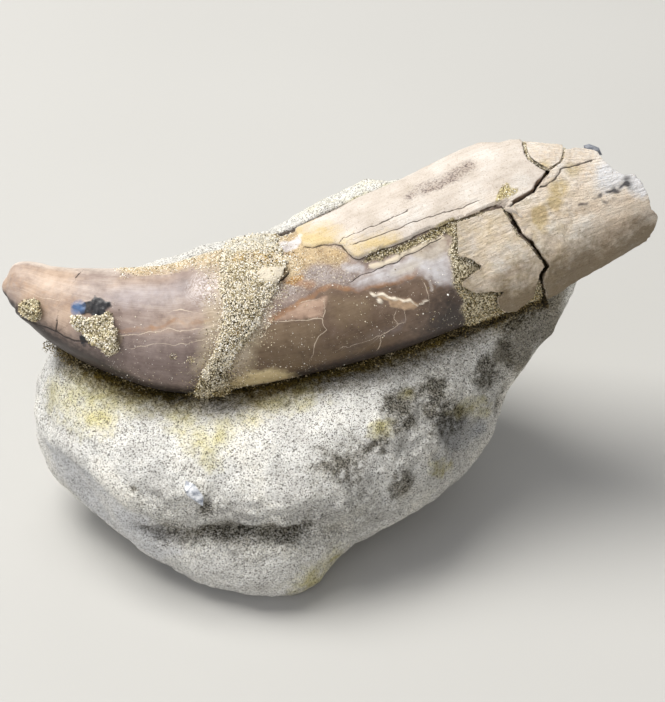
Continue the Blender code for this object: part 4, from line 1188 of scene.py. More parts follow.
class FOSSIL_OT_block(Operator):
    """Builds the sandstone block, with the band of sand that crosses the tooth"""

    bl_idname = "fossil.block"
    bl_label = "Sandstone block"

    def execute(self, context):
        looks = context.scene.fossil_looks
        mesh = remeshed("matrix_rock", ROCK_VOXEL)
        points = points_of(mesh)
        on_base = points[:, 2] < BASE_HEIGHT
        off_tooth = unit((beside_tooth(to_bed(points))[2] - 1.2) / 2.5)
        points = smoothed(mesh, points, 45, np.where(on_base, 0.0, 0.5 * off_tooth))
        points = smoothed(mesh, points, 2, np.where(on_base, 0.0, 0.4))
        points, band, depth = self.thinned(points)
        move_points(mesh, points)
        normals = normals_of(mesh)
        forms = self.forms(points, normals)
        push = self.relief(points, band, forms)
        points = points + normals * np.where(on_base, 0.0, push)[:, None]
        points[:, 2] = np.maximum(points[:, 2], 0.0)
        move_points(mesh, points)
        masks = self.marks(points, band, forms)
        block = dress("sandstone_block", mesh, sandstone_material(looks), masks)
        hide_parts("matrix_rock")
        self.scatter(looks, points, normals_of(mesh), depth)
        quartz = crystal_material()
        for name, middle, halves, lean, smoky, seed in GLASSY_CHIPS:
            place = to_world(np.array([middle]))[0]
            chip_piece(name, place, halves, lean, quartz, {"smoky": smoky}, seed)
        return {"FINISHED"}

    def thinned(self, points):
        """The block's points, with the band over the tooth drawn down to a thin edge on each side. Also
        gives how much each point belongs to the band, and how far inside its outline it lies."""
        bed = to_bed(points)
        along, angle, clear = beside_tooth(bed)
        depth = depth_inside(strayed(bed, 0.9, 2.2, 13), BAND_OUTLINE)
        over = (clear > 0.35) & (clear < 2.6) & (bed[:, 2] > -0.5) & (depth > -2.5)
        share = unit(depth / 3.0)
        chunk = patch_mask(strayed(bed, 0.3, 1.0, 24), [(RAISED_CHUNK, 0.35)])
        wanted = 0.30 + (0.65 + 0.35 * waver(bed, 2.0, 14)) * share * (2 - share) + 0.7 * chunk
        thin = over & (clear > wanted)
        points = np.where(thin[:, None], to_world(skin_point(along, angle, wanted)), points)
        band = np.where(over, unit(depth / 0.8 + 1.2), 0.0)
        return points, band, np.where(over, depth, NOWHERE)

    def forms(self, points, normals):
        """Masks of the block's own forms: the crumbled, layered and smooth places of its front, its
        ridge, hollows and pits, how far it is turned to the front, and how clear of the tooth it is."""
        bed = to_bed(points)
        outward = (normals @ TO_WORLD)[:, 2]
        facing = unit(outward * 2.0)
        groove = track_mask(strayed(points, 1.5, 3.5, 7), np.array(TOE_GROOVE), 2.4)
        crease = track_mask(strayed(points, 0.8, 2.5, 7), np.array(RIGHT_CREASE), 1.8)
        return {
            "rough": patch_mask(strayed(bed, 1.5, 3.0, 5), [(ROUGH_OUTLINE, 2.0)], -np.inf) * facing,
            "strata": patch_mask(strayed(bed, 1.5, 3.0, 5), [(STRATA_OUTLINE, 2.0)], -np.inf) * facing,
            "strip": patch_mask(strayed(bed, 0.8, 3.0, 19), [(STRIP_OUTLINE, 0.8)], -np.inf) * facing,
            "ridge": track_mask(points, np.array(LEFT_RIDGE), 2.6),
            "groove": groove,
            "crease": crease,
            "hollow": groove + 0.7 * crease,
            "pits": spot_mask(points, SMALL_SPOTS),
            "turned": unit(outward * 3.0 + 0.8) * unit((bed[:, 2] + 15.0) / 6.0),
            "clear": unit((beside_tooth(bed)[2] - 0.8) / 2.0),
        }

    def relief(self, points, band, forms):
        """How far each point of the block moves outward."""
        smooth, ridge = 1 - 0.8 * forms["strip"], forms["ridge"]
        crumbly = 0.55 * waver(points, 2.6, 11) - 0.5 * np.abs(waver(points, 1.5, 12))
        crumbly += 0.2 * waver(points, 0.8, 6)
        layered = 0.65 * waver(points / (4.0, 2.0, 1.1), 1.0, 20) + 0.3 * waver(points, 1.2, 21)
        layered -= 0.3 * np.abs(waver(points, 2.2, 25))
        push = forms["clear"] * smooth * wavers(points, (0.30, 3.4, 1), (0.14, 1.7, 2), (0.10, 0.9, 3))
        push += forms["rough"] * crumbly
        push += forms["strata"] * layered
        push += 0.8 * ridge * (2 - ridge) - 2.5 * forms["groove"] ** 1.5
        push -= 0.8 * forms["crease"] + 0.5 * forms["pits"]
        push += smooth * (0.07 * waver(points, 0.55, 4) + band * 0.2 * waver(points, 0.9, 8))
        return push

    def marks(self, points, band, forms):
        """The masks that the sandstone paints by, with painted shadow and shade among them. Stains fade
        where the block turns away from the front."""
        rough, strata, strip, turned = (forms[name] for name in ("rough", "strata", "strip", "turned"))
        wandered = strayed(points, 1.6, 4.0, 9)
        bed = strayed(to_bed(points), 0.3, 1.0, 24)
        wandering = strayed(bed, 0.8, 1.6, 30)
        shade = self.shade(points)
        # Painted shade deepens the dark stain on the right shoulder
        shoulder = unit(1.8 * spot_mask(wandered, SHOULDER_SPOTS))
        lower = unit((30.0 - points[:, 2]) / 20.0)
        upper = unit((to_bed(points)[:, 1] + 19.0) / 9.0)
        blotches = 0.2 + 0.35 * upper + 0.9 * waver(points, 3.2, 26) + 0.7 * waver(points, 1.2, 22)
        patched = 1.8 * turned * patch_mask(strayed(bed, 1.2, 1.8, 27), DARK_PATCHES, -np.inf)
        patched *= 0.6 + 0.7 * waver(points, 0.7, 28)
        patched += 0.35 * rough * blotches * (0.2 + 0.8 * upper)
        # Painted shade in the furrow above the toe and in the crease on the right
        damp_and_shade = 1.15 * forms["hollow"] * (0.85 + 0.5 * waver(points, 0.8, 29))
        # Pits are painted dark as well; the pit below the quartz chip is painted as its shadow
        dark = unit(patched + forms["pits"] + damp_and_shade)
        yellow = 1.1 * spot_mask(wandered, [(middle, 1.6 * radius) for middle, radius in YELLOW_SPOTS])
        yellow += turned * patch_mask(wandering, OLIVE_PATCHES, -np.inf)
        yellow += 0.35 * unit((bed[:, 1] - 19.0) / 4.0)
        # The darker grain mix grows towards the bottom and in the dark, crumbled, layered and shoulder
        # places. It also carries the painted shadow of the tooth and the painted shade in the hollows and
        # on the right shoulder.
        grime_and_shade = 0.08 + 0.22 * lower * (1 + 0.7 * waver(points, 5.0, 16))
        grime_and_shade = grime_and_shade + 0.8 * shade + 0.6 * dark + 0.18 * rough * upper
        grime_and_shade += 0.4 * shoulder + 0.3 * strata
        return {
            "chunk": patch_mask(bed, [(RAISED_CHUNK, 0.2)]) * (band > 0),
            "ochre": patch_mask(bed, OCHRE_PATCHES) * (band > 0) * unit(0.8 + 0.6 * waver(bed, 0.8, 35)),
            "yellow": unit(yellow * (0.85 + 0.35 * waver(points, 1.6, 23))),
            "dark": dark,
            "shade": shade * (1 - 0.3 * band),
            "blue": strip,
            "slate": turned * patch_mask(wandering, SLATE_PATCHES, -np.inf),
            "band": band * np.clip(1.0 - (bed[:, 1] - 14.5) / 3.0, 0.45, 1.0),
            "shoulder": shoulder,
            "rough": unit(0.15 + 0.85 * rough + 0.5 * strata + 0.5 * shoulder) * (1 - strip),
            "grime_and_shade": unit(grime_and_shade * (1 - 0.3 * strip)),
        }

    def shade(self, points):
        """Painted shadow of the tooth over olive sand: 1 where the block meets the tooth, fading to 0
        away from it, and fainter behind it.
        """
        clear = beside_tooth(to_bed(strayed(points, 0.5, 1.8, 15)))[2]
        in_front = to_bed(points)[:, 1] < 8.0
        return unit(1.15 - clear / 5.0) ** 1.2 * np.where(in_front, 1.0, 0.25)

    def scatter(self, looks, points, normals, depth):
        """Loose grains all over the band, fewer at its edges and its upper end. They are darker at its
        lower end, and along its right edge, where the darkening is painted shade."""
        chance = np.random.default_rng(SEEDS["band"])
        chunk = patch_mask(to_bed(points), [(RAISED_CHUNK, 0.3)])
        weight = unit(depth / 1.2 + 0.9) * (1 - 0.97 * chunk)
        x, y = to_bed(points)[:, 0], to_bed(points)[:, 1]
        thinning_out = np.where(x > -14.0, 17.2, 16.2)
        weight *= np.clip((thinning_out - y) / 2.5, 0.1, 1.0)
        chosen = chance.choice(len(points), looks.band_grains, p=weight / weight.sum())
        places = points[chosen] + chance.normal(scale=0.2, size=(len(chosen), 3))
        places += normals[chosen] * chance.uniform(-0.08, 0.12, (len(chosen), 1))
        sizes = chance.uniform(*GRAIN_SIZES["band"], len(chosen))
        bed = to_bed(places)
        # Painted shade: grains along the band's right edge are darker, as in its shadow
        beside = unit((depth_inside(bed, BAND_OUTLINE) < 1.6) * (bed[:, 0] > -14.0) * 0.45)
        damp_and_shade = (-0.4 - bed[:, 1]) / 7.0 + 0.7 * waver(bed, 1.8, 17) + 0.4 * waver(bed, 0.8, 15)
        damp_and_shade = unit(damp_and_shade + beside)
        grain_piece("band_sand", places, sizes, damp_and_shade, sand_material(), chance)


def tooth_grid():
    """Place along the tooth and angle round it for each point of its skin, ring by ring from tip to
    crack, and how many points a ring has."""
    front = np.linspace(*FRONT_ANGLES, FRONT_COLUMNS)
    back = np.linspace(FRONT_ANGLES[1], FRONT_ANGLES[0] + 2 * math.pi, BACK_COLUMNS + 2)[1:-1]
    angles = np.concatenate((front, back))
    crack = np.array(CRACK)[::-1]
    ends = np.full(len(angles), CRACK_ALONG)
    for _ in range(30):
        met = skin_point(ends, angles, BARK)
        jagged = 0.18 * waver(met * (0, 1, 1), 0.9, 46) + 0.12 * waver(met * (0, 1, 1), 0.4, 47)
        ends += 0.7 * (np.interp(met[:, 1], crack[:, 1], crack[:, 0]) + jagged - met[:, 0])
    shares = np.linspace(0.0, 1.0, STATIONS)
    return (shares[:, None] * ends).ravel(), np.tile(angles, STATIONS), len(angles)


def tube_faces(rings, columns):
    """Four-sided faces of a tube with this many rings of this many points."""
    ring, column = np.meshgrid(np.arange(rings - 1), np.arange(columns), indexing="ij")
    after = (column + 1) % columns
    low, high = ring * columns, (ring + 1) * columns
    return np.stack((low + column, low + after, high + after, high + column), axis=-1).reshape(-1, 4)


class FOSSIL_OT_tooth(Operator):
    """Builds the tooth up to the open crack: worn crown, bare dentine and the bark still on the root"""

    bl_idname = "fossil.tooth"
    bl_label = "Tooth"

    def execute(self, context):
        looks = context.scene.fossil_looks
        along, angle, columns = tooth_grid()
        bare = skin_point(along, angle)
        edge = strayed(bare, 0.16, 0.9, 20)
        drawn = strayed(strayed(edge, 0.45, 2.6, 23), 0.2, 0.8, 26)
        sheet = np.where(bare[:, 2] > FRONT_LOWEST, depth_inside(edge, SHEET_OUTLINE), NOWHERE)
        rear = np.where(bare[:, 2] < BACK_HIGHEST, depth_inside(edge, BACK_OUTLINE), NOWHERE)
        inside = np.maximum(sheet, rear)
        bark = unit(0.5 + inside / BARK_STEP)
        masks = self.marks(along, angle, bare, drawn, bark)
        masks["inside"] = inside
        # A dark line just outside the bark's edge: partly painted shadow under the edge, partly dirt
        width = np.clip(0.055 + 0.06 * waver(bare, 1.2, 28), 0.015, 0.12)
        masks["rim"] = np.where(bare[:, 0] > -4.4, (inside + 0.12) / width, NO_LINE)
        thinned = np.clip(0.45 + (bare[:, 0] - 1.0) / 6.0, 0.45, 1.0)
        thick = looks.bark * np.where(rear > sheet, 1.0, thinned)
        grown = thick * bark + self.relief(along, bare, masks, bark)
        points = skin_point(along, angle, grown)
        top = np.interp(points[:, 0], *np.array(BROKEN_TOP).T)
        clamped = (points[:, 0] > BROKEN_TOP[0][0]) & (points[:, 1] > top)
        points[:, 1] = np.where(clamped, top + 0.15 * waver(bare, 1.2, 27), points[:, 1])
        self.scatter(points, masks)
        points, masks, faces = self.closed(points, masks, columns)
        piece = new_piece("tooth_skin", to_world(points), faces, tooth_material(looks), masks)
        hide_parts("tooth")
        return {"FINISHED"}

    def marks(self, along, angle, bare, drawn, bark):
        """The masks that the tooth's material paints by."""
        masks = {
            "along": along,
            "around": angle * ROUND_STEP,
            "depth": bark * BARK,
            "core": np.zeros(len(bare)),
        }
        masks.update(self.broad_marks(-np.cos(angle), bare, drawn, bark))
        masks.update(self.patch_marks(bare, drawn, bark))
        masks.update(self.line_marks(bare, drawn, bark))
        powder = np.maximum(masks["dust"], np.maximum(masks["honey"], masks["ochre"]) * (1 - bark))
        dusty = np.maximum.reduce((masks["sand"], masks["infill"], 0.6 * powder, 0.8 * masks["strip"]))
        masks["dusty"] = dusty * (1 - 0.9 * self.swirl(bare))
        grit = unit(1.6 * patch_mask(drawn, [(GRIT_OUTLINE, 1.2)]))
        masks["grit"] = grit * (1 - bark) * (1 - masks["milk"])
        return masks

    def broad_marks(self, side, bare, drawn, bark):
        """Tones that follow the tooth's own form. The side is 1 along its lower edge and -1 along its
        upper one."""
        x, y = bare[:, 0], bare[:, 1]
        crown = unit((-12.0 - x) / 8.0)
        tipward = unit((-36.0 - drawn[:, 0]) / 6.0)
        bark_tan = unit((x - 18.0) / 14.0) * unit((26.0 - y) / 6.0)
        crown_tan = tipward * unit(0.75 + 0.6 * waver(bare, 3.0, 29))
        crown_tan += 0.6 * patch_mask(drawn, TAN_PATCHES)
        # Painted shade in part: plum darkens towards the lower edge, where the dentine is also a darker
        # purple
        plum = (side - 0.2) / 0.6 + 0.25 * waver(bare, 6.0, 30) + 0.45 * patch_mask(drawn, PLUM_PATCHES)
        umber = patch_mask(drawn, UMBER_PATCHES)
        # Painted shade along the lower edge, strongest near the tip, and a dark purple patch that is
        # partly painted shade
        dusk = np.maximum(patch_mask(drawn, DUSK_PATCHES), unit((side - 0.84) / 0.12))
        return {
            "tan": np.where(bark > 0.02, bark_tan, crown_tan),
            # The paler upper edge: partly its own cream tone, partly painted light on the top rim
            "cream": crown * unit((-side - 0.77) / 0.2 + 0.2 * waver(bare, 3.0, 31)) * 0.9,
            "plum": np.clip(plum, 0.0, 0.9),
            "umber": umber,
            # Painted shade in part: the brown window darkens towards its lower edge
            "bistre": umber * unit((side - 0.3) / 0.5) * unit((14 - x) / 8),
            "dusk": dusk + 1.2 * unit((side - 0.5) / 0.4) * unit((-30.0 - x) / 8.0),
            # Painted shade: the bark darkens towards the tooth's lower side
            "grime_and_shade": unit((side - 0.55) / 0.4) * bark,
        }

    def patch_marks(self, bare, drawn, bark):
        """Patches of colour, sand and relief."""
        bark_honey = patch_mask(drawn, BARK_HONEY_PATCHES) * (0.8 + 0.6 * waver(bare, 1.6, 37))
        blue_ink_and_sheen = [(lay_on_tooth([BLUE_INK_MIDDLE])[0], BLUE_INK_RADIUS)]
        pores = track_mask(strayed(bare, 0.5, 1.2, 62), lay_on_tooth(PORES_PATH), 1.5, 1.25)
        sand = patch_mask(strayed(bare, 0.15, 0.6, 64), [(SAND_PATCH, 0.15)])
        torn = self.torn(bare)
        return {
            "amber": patch_mask(drawn, AMBER_PATCHES),
            "milk": patch_mask(drawn, MILK_PATCHES) * (1 - 0.6 * bark),
            "lilac": patch_mask(drawn, LILAC_PATCHES),
            "honey": np.where(bark > 0.5, bark_honey, patch_mask(drawn, HONEY_PATCHES)),
            "blush": patch_mask(drawn, [(BLUSH_PATCH, 0.4)]),
            "dust": patch_mask(drawn, DUST_PATCHES) * (1 - self.swirl(bare)),
            "ochre": patch_mask(drawn, OCHRE_PATCHES),
            "glow": patch_mask(drawn, GLOW_PATCHES),
            "haze": patch_mask(drawn, HAZE_PATCHES) * 0.8,
            "strip": patch_mask(strayed(bare, 0.1, 0.5, 41), [(CREAM_STRIP, 0.12)]),
            "ink": patch_mask(strayed(strayed(bare, 0.6, 1.0, 36), 0.25, 0.4, 37), INK_PATCHES),
            # Partly a painted glossy highlight on the black stain
            "blue_ink_and_sheen": spot_mask(strayed(bare, 0.3, 0.8, 39), blue_ink_and_sheen) ** 0.5,
            "pores": pores * unit(0.75 + 0.6 * waver(bare, 1.6, 63)),
            "sand": np.maximum(patch_mask(drawn, [(GROOVE, 0.25)]), sand),
            "infill": patch_mask(drawn, [(INFILL, 0.4)]),
            "scar": patch_mask(strayed(bare, 0.3, 1.1, 43), [(SCAR_OUTLINE, 0.25)]),
            "flesh": patch_mask(torn, [(SCAR_FLESH, 0.2)]),
            # Where the painted highlight shows
            "painted_highlight": self.swirl(bare) ** 0.7,
        }

    def line_marks(self, bare, drawn, bark):
        """Lines: rust, streaks, veins, cracks, ripples of the painted highlight, the scar's ledge and the
        painted shadow by the plate.
        """
        front = bare[:, 2] > FRONT_LOWEST
        rust = line_mask(drawn, RUST_LINES) * np.clip((bare[:, 0] + 60.0) / 45.0, 0.3, 1.0)
        veins = line_offset(strayed(bare, 0.25, 1.1, 33), VEIN_LINES) * (1.5 + 0.9 * waver(bare, 1.1, 34))
        bare_cracks = line_offset(strayed(bare, 0.15, 0.8, 38), CRACK_LINES)
        bark_cracks = line_offset(strayed(bare, 0.12, 0.8, 45), BARK_CRACK_LINES)
        swirl_path = lay_on_tooth([SWIRL_MIDDLE, SWIRL_FOOT])
        return {
            "rust": rust * (0.8 + 0.4 * waver(bare, 2.0, 32)),
            "streak": line_mask(drawn, STREAK_LINES),
            "vein": np.where(front, veins, NO_LINE),
            "crack": np.where(front, np.where(bark > 0.5, bark_cracks, bare_cracks), NO_LINE),
            "rings": distance(strayed(bare, 0.9, 2.2, 65), swirl_path),
            "ledge": line_mask(self.torn(bare), SCAR_LEDGE),
            "shadow": line_mask(strayed(bare, 0.1, 0.6, 48), [(PLATE_EDGE, 0.28)]) * (1 - bark),
        }

    def torn(self, bare):
        """The points, moved so that the scar's ledge and its floor get a torn edge."""
        return strayed(strayed(bare, 0.25, 1.0, 43), 0.15, 0.4, 44)

    def swirl(self, bare):
        """1 in the middle of the crown's most rippled place, where its highlight is painted."""
        return spot_mask(bare, [(lay_on_tooth([SWIRL_MIDDLE])[0], SWIRL_RADIUS)])

    def relief(self, along, bare, masks, bark):
        """How far each point stands above the plain skin."""
        fibre = np.column_stack((along / 7.0, masks["around"] / 0.8, np.zeros(len(along))))
        fine = np.column_stack((along / 3.0, masks["around"] / 0.4, np.ones(len(along))))
        fibrous = 0.07 * waver(fibre, 1.0, 50) + 0.05 * waver(fine, 1.0, 51) + 0.06 * waver(bare, 2.5, 52)
        worn = 0.02 * waver(fibre, 1.0, 53) + 0.10 * waver(bare, 9.0, 54) + 0.03 * waver(bare, 2.2, 58)
        height = bark * fibrous
        height += bark * 0.04 * waver(bare, 0.5, 57)
        height += (1 - bark) * worn
        height += self.swirl(bare) * wavers(bare, (0.12, 1.1, 59), (0.08, 0.6, 60))
        height -= 0.16 * unit(2.0 - np.abs(masks["crack"]))
        height += 0.2 * masks["ledge"] + 0.12 * masks["flesh"] * (1 + waver(bare, 0.5, 61))
        height -= 0.2 * masks["scar"] * (1 - np.maximum(masks["ledge"], masks["flesh"]))
        veins = 0.04 * unit(2.0 - np.abs(masks["vein"]))
        height += veins + 0.10 * masks["ink"] * (1 + waver(bare, 0.5, 55))
        height += (masks["sand"] + masks["infill"]) * (0.2 + 0.15 * waver(bare, 0.5, 56)) * (1 - bark)
        height -= masks["pores"] * 0.16 * bark
        height += 0.12 * masks["strip"]
        return height

    def scatter(self, points, masks):
        """Grains of sand that fill the groove under the bark's edge and the gap before the plate."""
        chance = np.random.default_rng(SEEDS["groove"])
        weight = np.where(np.maximum(masks["sand"], masks["infill"]) > 0.5, 1.0, 0.0)
        chosen = chance.choice(len(points), GROOVE_GRAINS, p=weight / weight.sum())
        places = points[chosen] + chance.normal(scale=0.12, size=(GROOVE_GRAINS, 3))
        sizes = chance.uniform(*GRAIN_SIZES["groove"], GROOVE_GRAINS)
        wet = np.where(masks["infill"][chosen] > 0.5, np.clip((15.0 - places[:, 1]) / 6.0, 0.2, 0.9), 0.4)
        damp_and_shade = unit(wet + 0.35 * waver(places, 1.5, 18))
        places = to_world(places)
        grain_piece("groove_sand", places, sizes, damp_and_shade, sand_material(), chance)

    def closed(self, points, masks, columns):
        """The tube of points with its worn tip and its broken end closed by shrinking rings."""
        chance = np.random.default_rng(SEEDS["break"])
        tip, end = points[:columns], points[-columns:]
        foremost, hindmost = tip.mean(axis=0), end.mean(axis=0)
        forward = (points[columns : 2 * columns].mean(axis=0) - foremost) * (1, 1, 0)
        forward /= np.linalg.norm(forward)
        before, after = [], []
        for share in TIP_SHARES:
            before.append(foremost + (tip - foremost) * share - forward * TIP_BULGE * (1 - share**2))
        for share in BREAK_SHARES:
            ring = hindmost + (end - hindmost) * share
            ring[:, 0] += chance.normal(scale=0.12, size=columns) - 0.5 * (1 - share)
            after.append(ring)
        rings = len(points) // columns + len(before) + len(after)
        filled = {}
        for name, values in masks.items():
            first = np.tile(values[:columns], len(before))
            last = np.tile(values[-columns:], len(after))
            if name in ON_BREAK:
                last = np.full(len(last), ON_BREAK[name])
            filled[name] = np.concatenate((first, values, last))
        points = np.concatenate((*before, points, *after))
        faces = tube_faces(rings, columns).tolist()
        faces.append(list(range(columns))[::-1])
        faces.append(list(range((rings - 1) * columns, rings * columns)))
        return points, filled, faces


def skinned(node, voxel, grown_outside, grown_inside=None):
    """A fine mesh of a CAD node that belongs to the tooth, with each point that lies near the tooth's
    smooth skin moved onto it. Gives the mesh, its points in the bed's frame, their places along and round
    the tooth, and 1 for those on the outer skin and 0 for those on breaks."""
    mesh = remeshed(node, voxel)
    points = to_bed(points_of(mesh))
    along, angle, clear = beside_tooth(points)
    skin = np.zeros(len(points))
    for grown in (grown_outside, grown_inside):
        if grown is None:
            continue
        near = np.abs(clear - grown) < SKIN_REACH
        points = np.where(near[:, None], skin_point(along, angle, grown), points)
        if grown == grown_outside:
            skin = np.where(near, 1.0, 0.0)
    move_points(mesh, to_world(points))
    return mesh, points, along, angle, skin


class FOSSIL_OT_root(Operator):
    """Builds the broken root end, the chip beside the crack and the loose plate of bark"""

    bl_idname = "fossil.root"
    bl_label = "Root end, chip and plate"

    def execute(self, context):
        material = bark_material()
        for node, name, voxel, outside, inside in ROOT_PIECES:
            mesh, points, along, angle, skin = skinned(node, voxel, outside, inside)
            masks = self.marks(node, points, along, angle, skin)
            push = self.relief(points, along, masks, skin)
            move_points(mesh, to_world(points) + normals_of(mesh) * push[:, None])
            piece = dress(name, mesh, material, masks)
            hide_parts(node)
        for number, (middle, halves, lean) in enumerate(SPLINTERS, 1):
            place = to_world(lay_on_tooth([middle], BARK))[0]
            masks = {"crack": NO_LINE, "tan": 0.3}
            seed = SEEDS["splinter"] + number
            chip_piece(f"splinter_{number}", place, halves, lean, material, masks, seed)
        self.crack_fill()
        return {"FINISHED"}

    def relief(self, points, along, masks, skin):
        """How far each point moves outward: fibres and knobs on the skin, a coarse break elsewhere."""
        fibre = np.column_stack((along / 6.0, masks["around"] / 0.8, np.zeros(len(along))))
        fine = np.column_stack((along / 2.5, masks["around"] / 0.4, np.ones(len(along))))
        fibrous = 0.06 * waver(fibre, 1.0, 60) + 0.05 * waver(fine, 1.0, 61)
        fibrous += 0.10 * waver(points, 2.0, 62)
        knobs = 0.12 * waver(points, 0.9, 65) + 0.14 * (0.4 - np.abs(waver(points, 1.1, 67)))
        knobs += 0.08 * waver(points, 0.5, 66)
        push = skin * fibrous
        push += skin * knobs * (0.4 + 0.6 * masks["knobby"])
        push += (1 - skin) * wavers(points, (0.22, 1.3, 63), (0.14, 0.5, 64))
        push -= 0.18 * unit(2.0 - np.abs(masks["crack"]))
        return push

    def marks(self, node, points, along, angle, skin):
        """The masks that the bark paints by: broken faces, sandy, rusty and mineral-dark places, and
        painted shade on the lower side.
        """
        drawn = strayed(points, 0.8, 2.5, 70)
        clear = beside_tooth(points)[2]
        side = -np.cos(angle)
        none, full = np.zeros(len(points)), np.ones(len(points))
        streaks = np.column_stack((along / 9, angle * 7, none))
        sallow = 0.35 * unit((28.0 - points[:, 1]) / 4.0) + 0.2 * waver(points, 1.4, 79)
        sallow *= unit((43.0 - points[:, 0]) / 7.0)
        cracks = line_offset(strayed(points, 0.2, 0.8, 75), ROOT_CRACK_LINES, BARK)
        masks = {
            "along": along,
            "around": angle * ROUND_STEP,
            "depth": clear,
            "core": unit((BARK - 0.5 - clear) / 0.8) * (1 - skin),
            # Painted shade: each root piece darkens towards its lower side
            "grime_and_shade": unit((side - 0.3) / 0.55 + 0.3 * waver(points, 2.0, 73)) * skin,
            "knobby": none,
            "rust": unit(0.7 * waver(streaks, 1.0, 74)) * unit(0.6 + side),
            "honey": unit(1.4 * spot_mask(drawn, self.on_bark(ROOT_HONEY_SPOTS)) + sallow),
            "crack": np.where(skin > 0.5, cracks, NO_LINE),
        }
        if node == "root_end":
            masks.update(self.end_marks(points, drawn))
        elif node == "cementum_chip":
            masks.update({"tan": full, "milk": 0.3 * full})
        else:
            masks["tan"] = np.clip((drawn[:, 0] - 18.6) / 5.0, 0.3, 1.0)
            masks["tan"] *= np.clip((25.0 - drawn[:, 1]) / 7.0, 0.5, 1.0)
        return masks

    def end_marks(self, points, drawn):
        """Masks of the root end alone: knobs beside the crack, mineral-dark blots, milky places, and
        painted light on its upper part.
        """
        line = line_mask(strayed(points, 0.3, 1.0, 77), ROOT_INK_LINES, BARK)
        line *= unit(0.6 + waver(points, 0.7, 78))
        blot = spot_mask(drawn, self.on_bark(ROOT_INK_SPOTS))
        # Painted light: the root end turns paler and bluer towards its upper side
        painted_top_light = 0.3 * unit((drawn[:, 1] - 21.0) / 6.0)
        return {
            "tan": np.clip(0.75 + (drawn[:, 0] - 30.0) / 30.0 + (24.0 - drawn[:, 1]) / 40.0, 0.7, 1.0),
            "knobby": unit(1.0 - np.abs(points[:, 0] - 33.0) / 9.0),
            "ink": unit(blot * 1.6 * unit(0.5 + 1.4 * waver(points, 0.6, 72)) + line * 0.9),
            "milk": unit(painted_top_light + 1.3 * spot_mask(drawn, self.on_bark(ROOT_MILK_SPOTS))),
        }

    def on_bark(self, spots):
        """Flat round spots, lifted onto the bark."""
        return [(lay_on_tooth([middle], BARK)[0], radius) for middle, radius in spots]

    def crack_fill(self):
        """Dark dirt deep in the open crack, and pale dust packed round the chip."""
        chance = np.random.default_rng(SEEDS["crack"])
        sand = sand_material()
        crack = np.array(CRACK)[::-1]
        y = chance.uniform(7.0, 32.0, CRACK_GRAINS)
        x = np.interp(y, crack[:, 1], crack[:, 0]) + chance.uniform(0.0, 0.9, CRACK_GRAINS)
        places = lay_on_tooth(np.column_stack((x, y)))
        places[:, 2] = np.maximum(places[:, 2] - chance.uniform(0.8, 2.8, CRACK_GRAINS), -6.0)
        sizes = chance.uniform(*GRAIN_SIZES["crack"], CRACK_GRAINS)
        damp_and_shade = np.ones(CRACK_GRAINS)
        grain_piece("crack_dirt", to_world(places), sizes, damp_and_shade, sand, chance, 0.3)
        seam = np.array(CHIP_SEAM)
        steps = chance.uniform(0.0, len(seam) - 1.0, CHIP_DUST)
        path = np.column_stack([np.interp(steps, np.arange(len(seam)), column) for column in seam.T])
        path += chance.normal(scale=0.12, size=path.shape)
        places = lay_on_tooth(path, BARK)
        places[:, 2] -= chance.uniform(0.35, 1.4, CHIP_DUST)
        sizes = chance.uniform(*GRAIN_SIZES["chip"], CHIP_DUST)
        damp_and_shade = np.full(CHIP_DUST, 0.25)
        grain_piece("chip_dust", to_world(places), sizes, damp_and_shade, sand, chance)


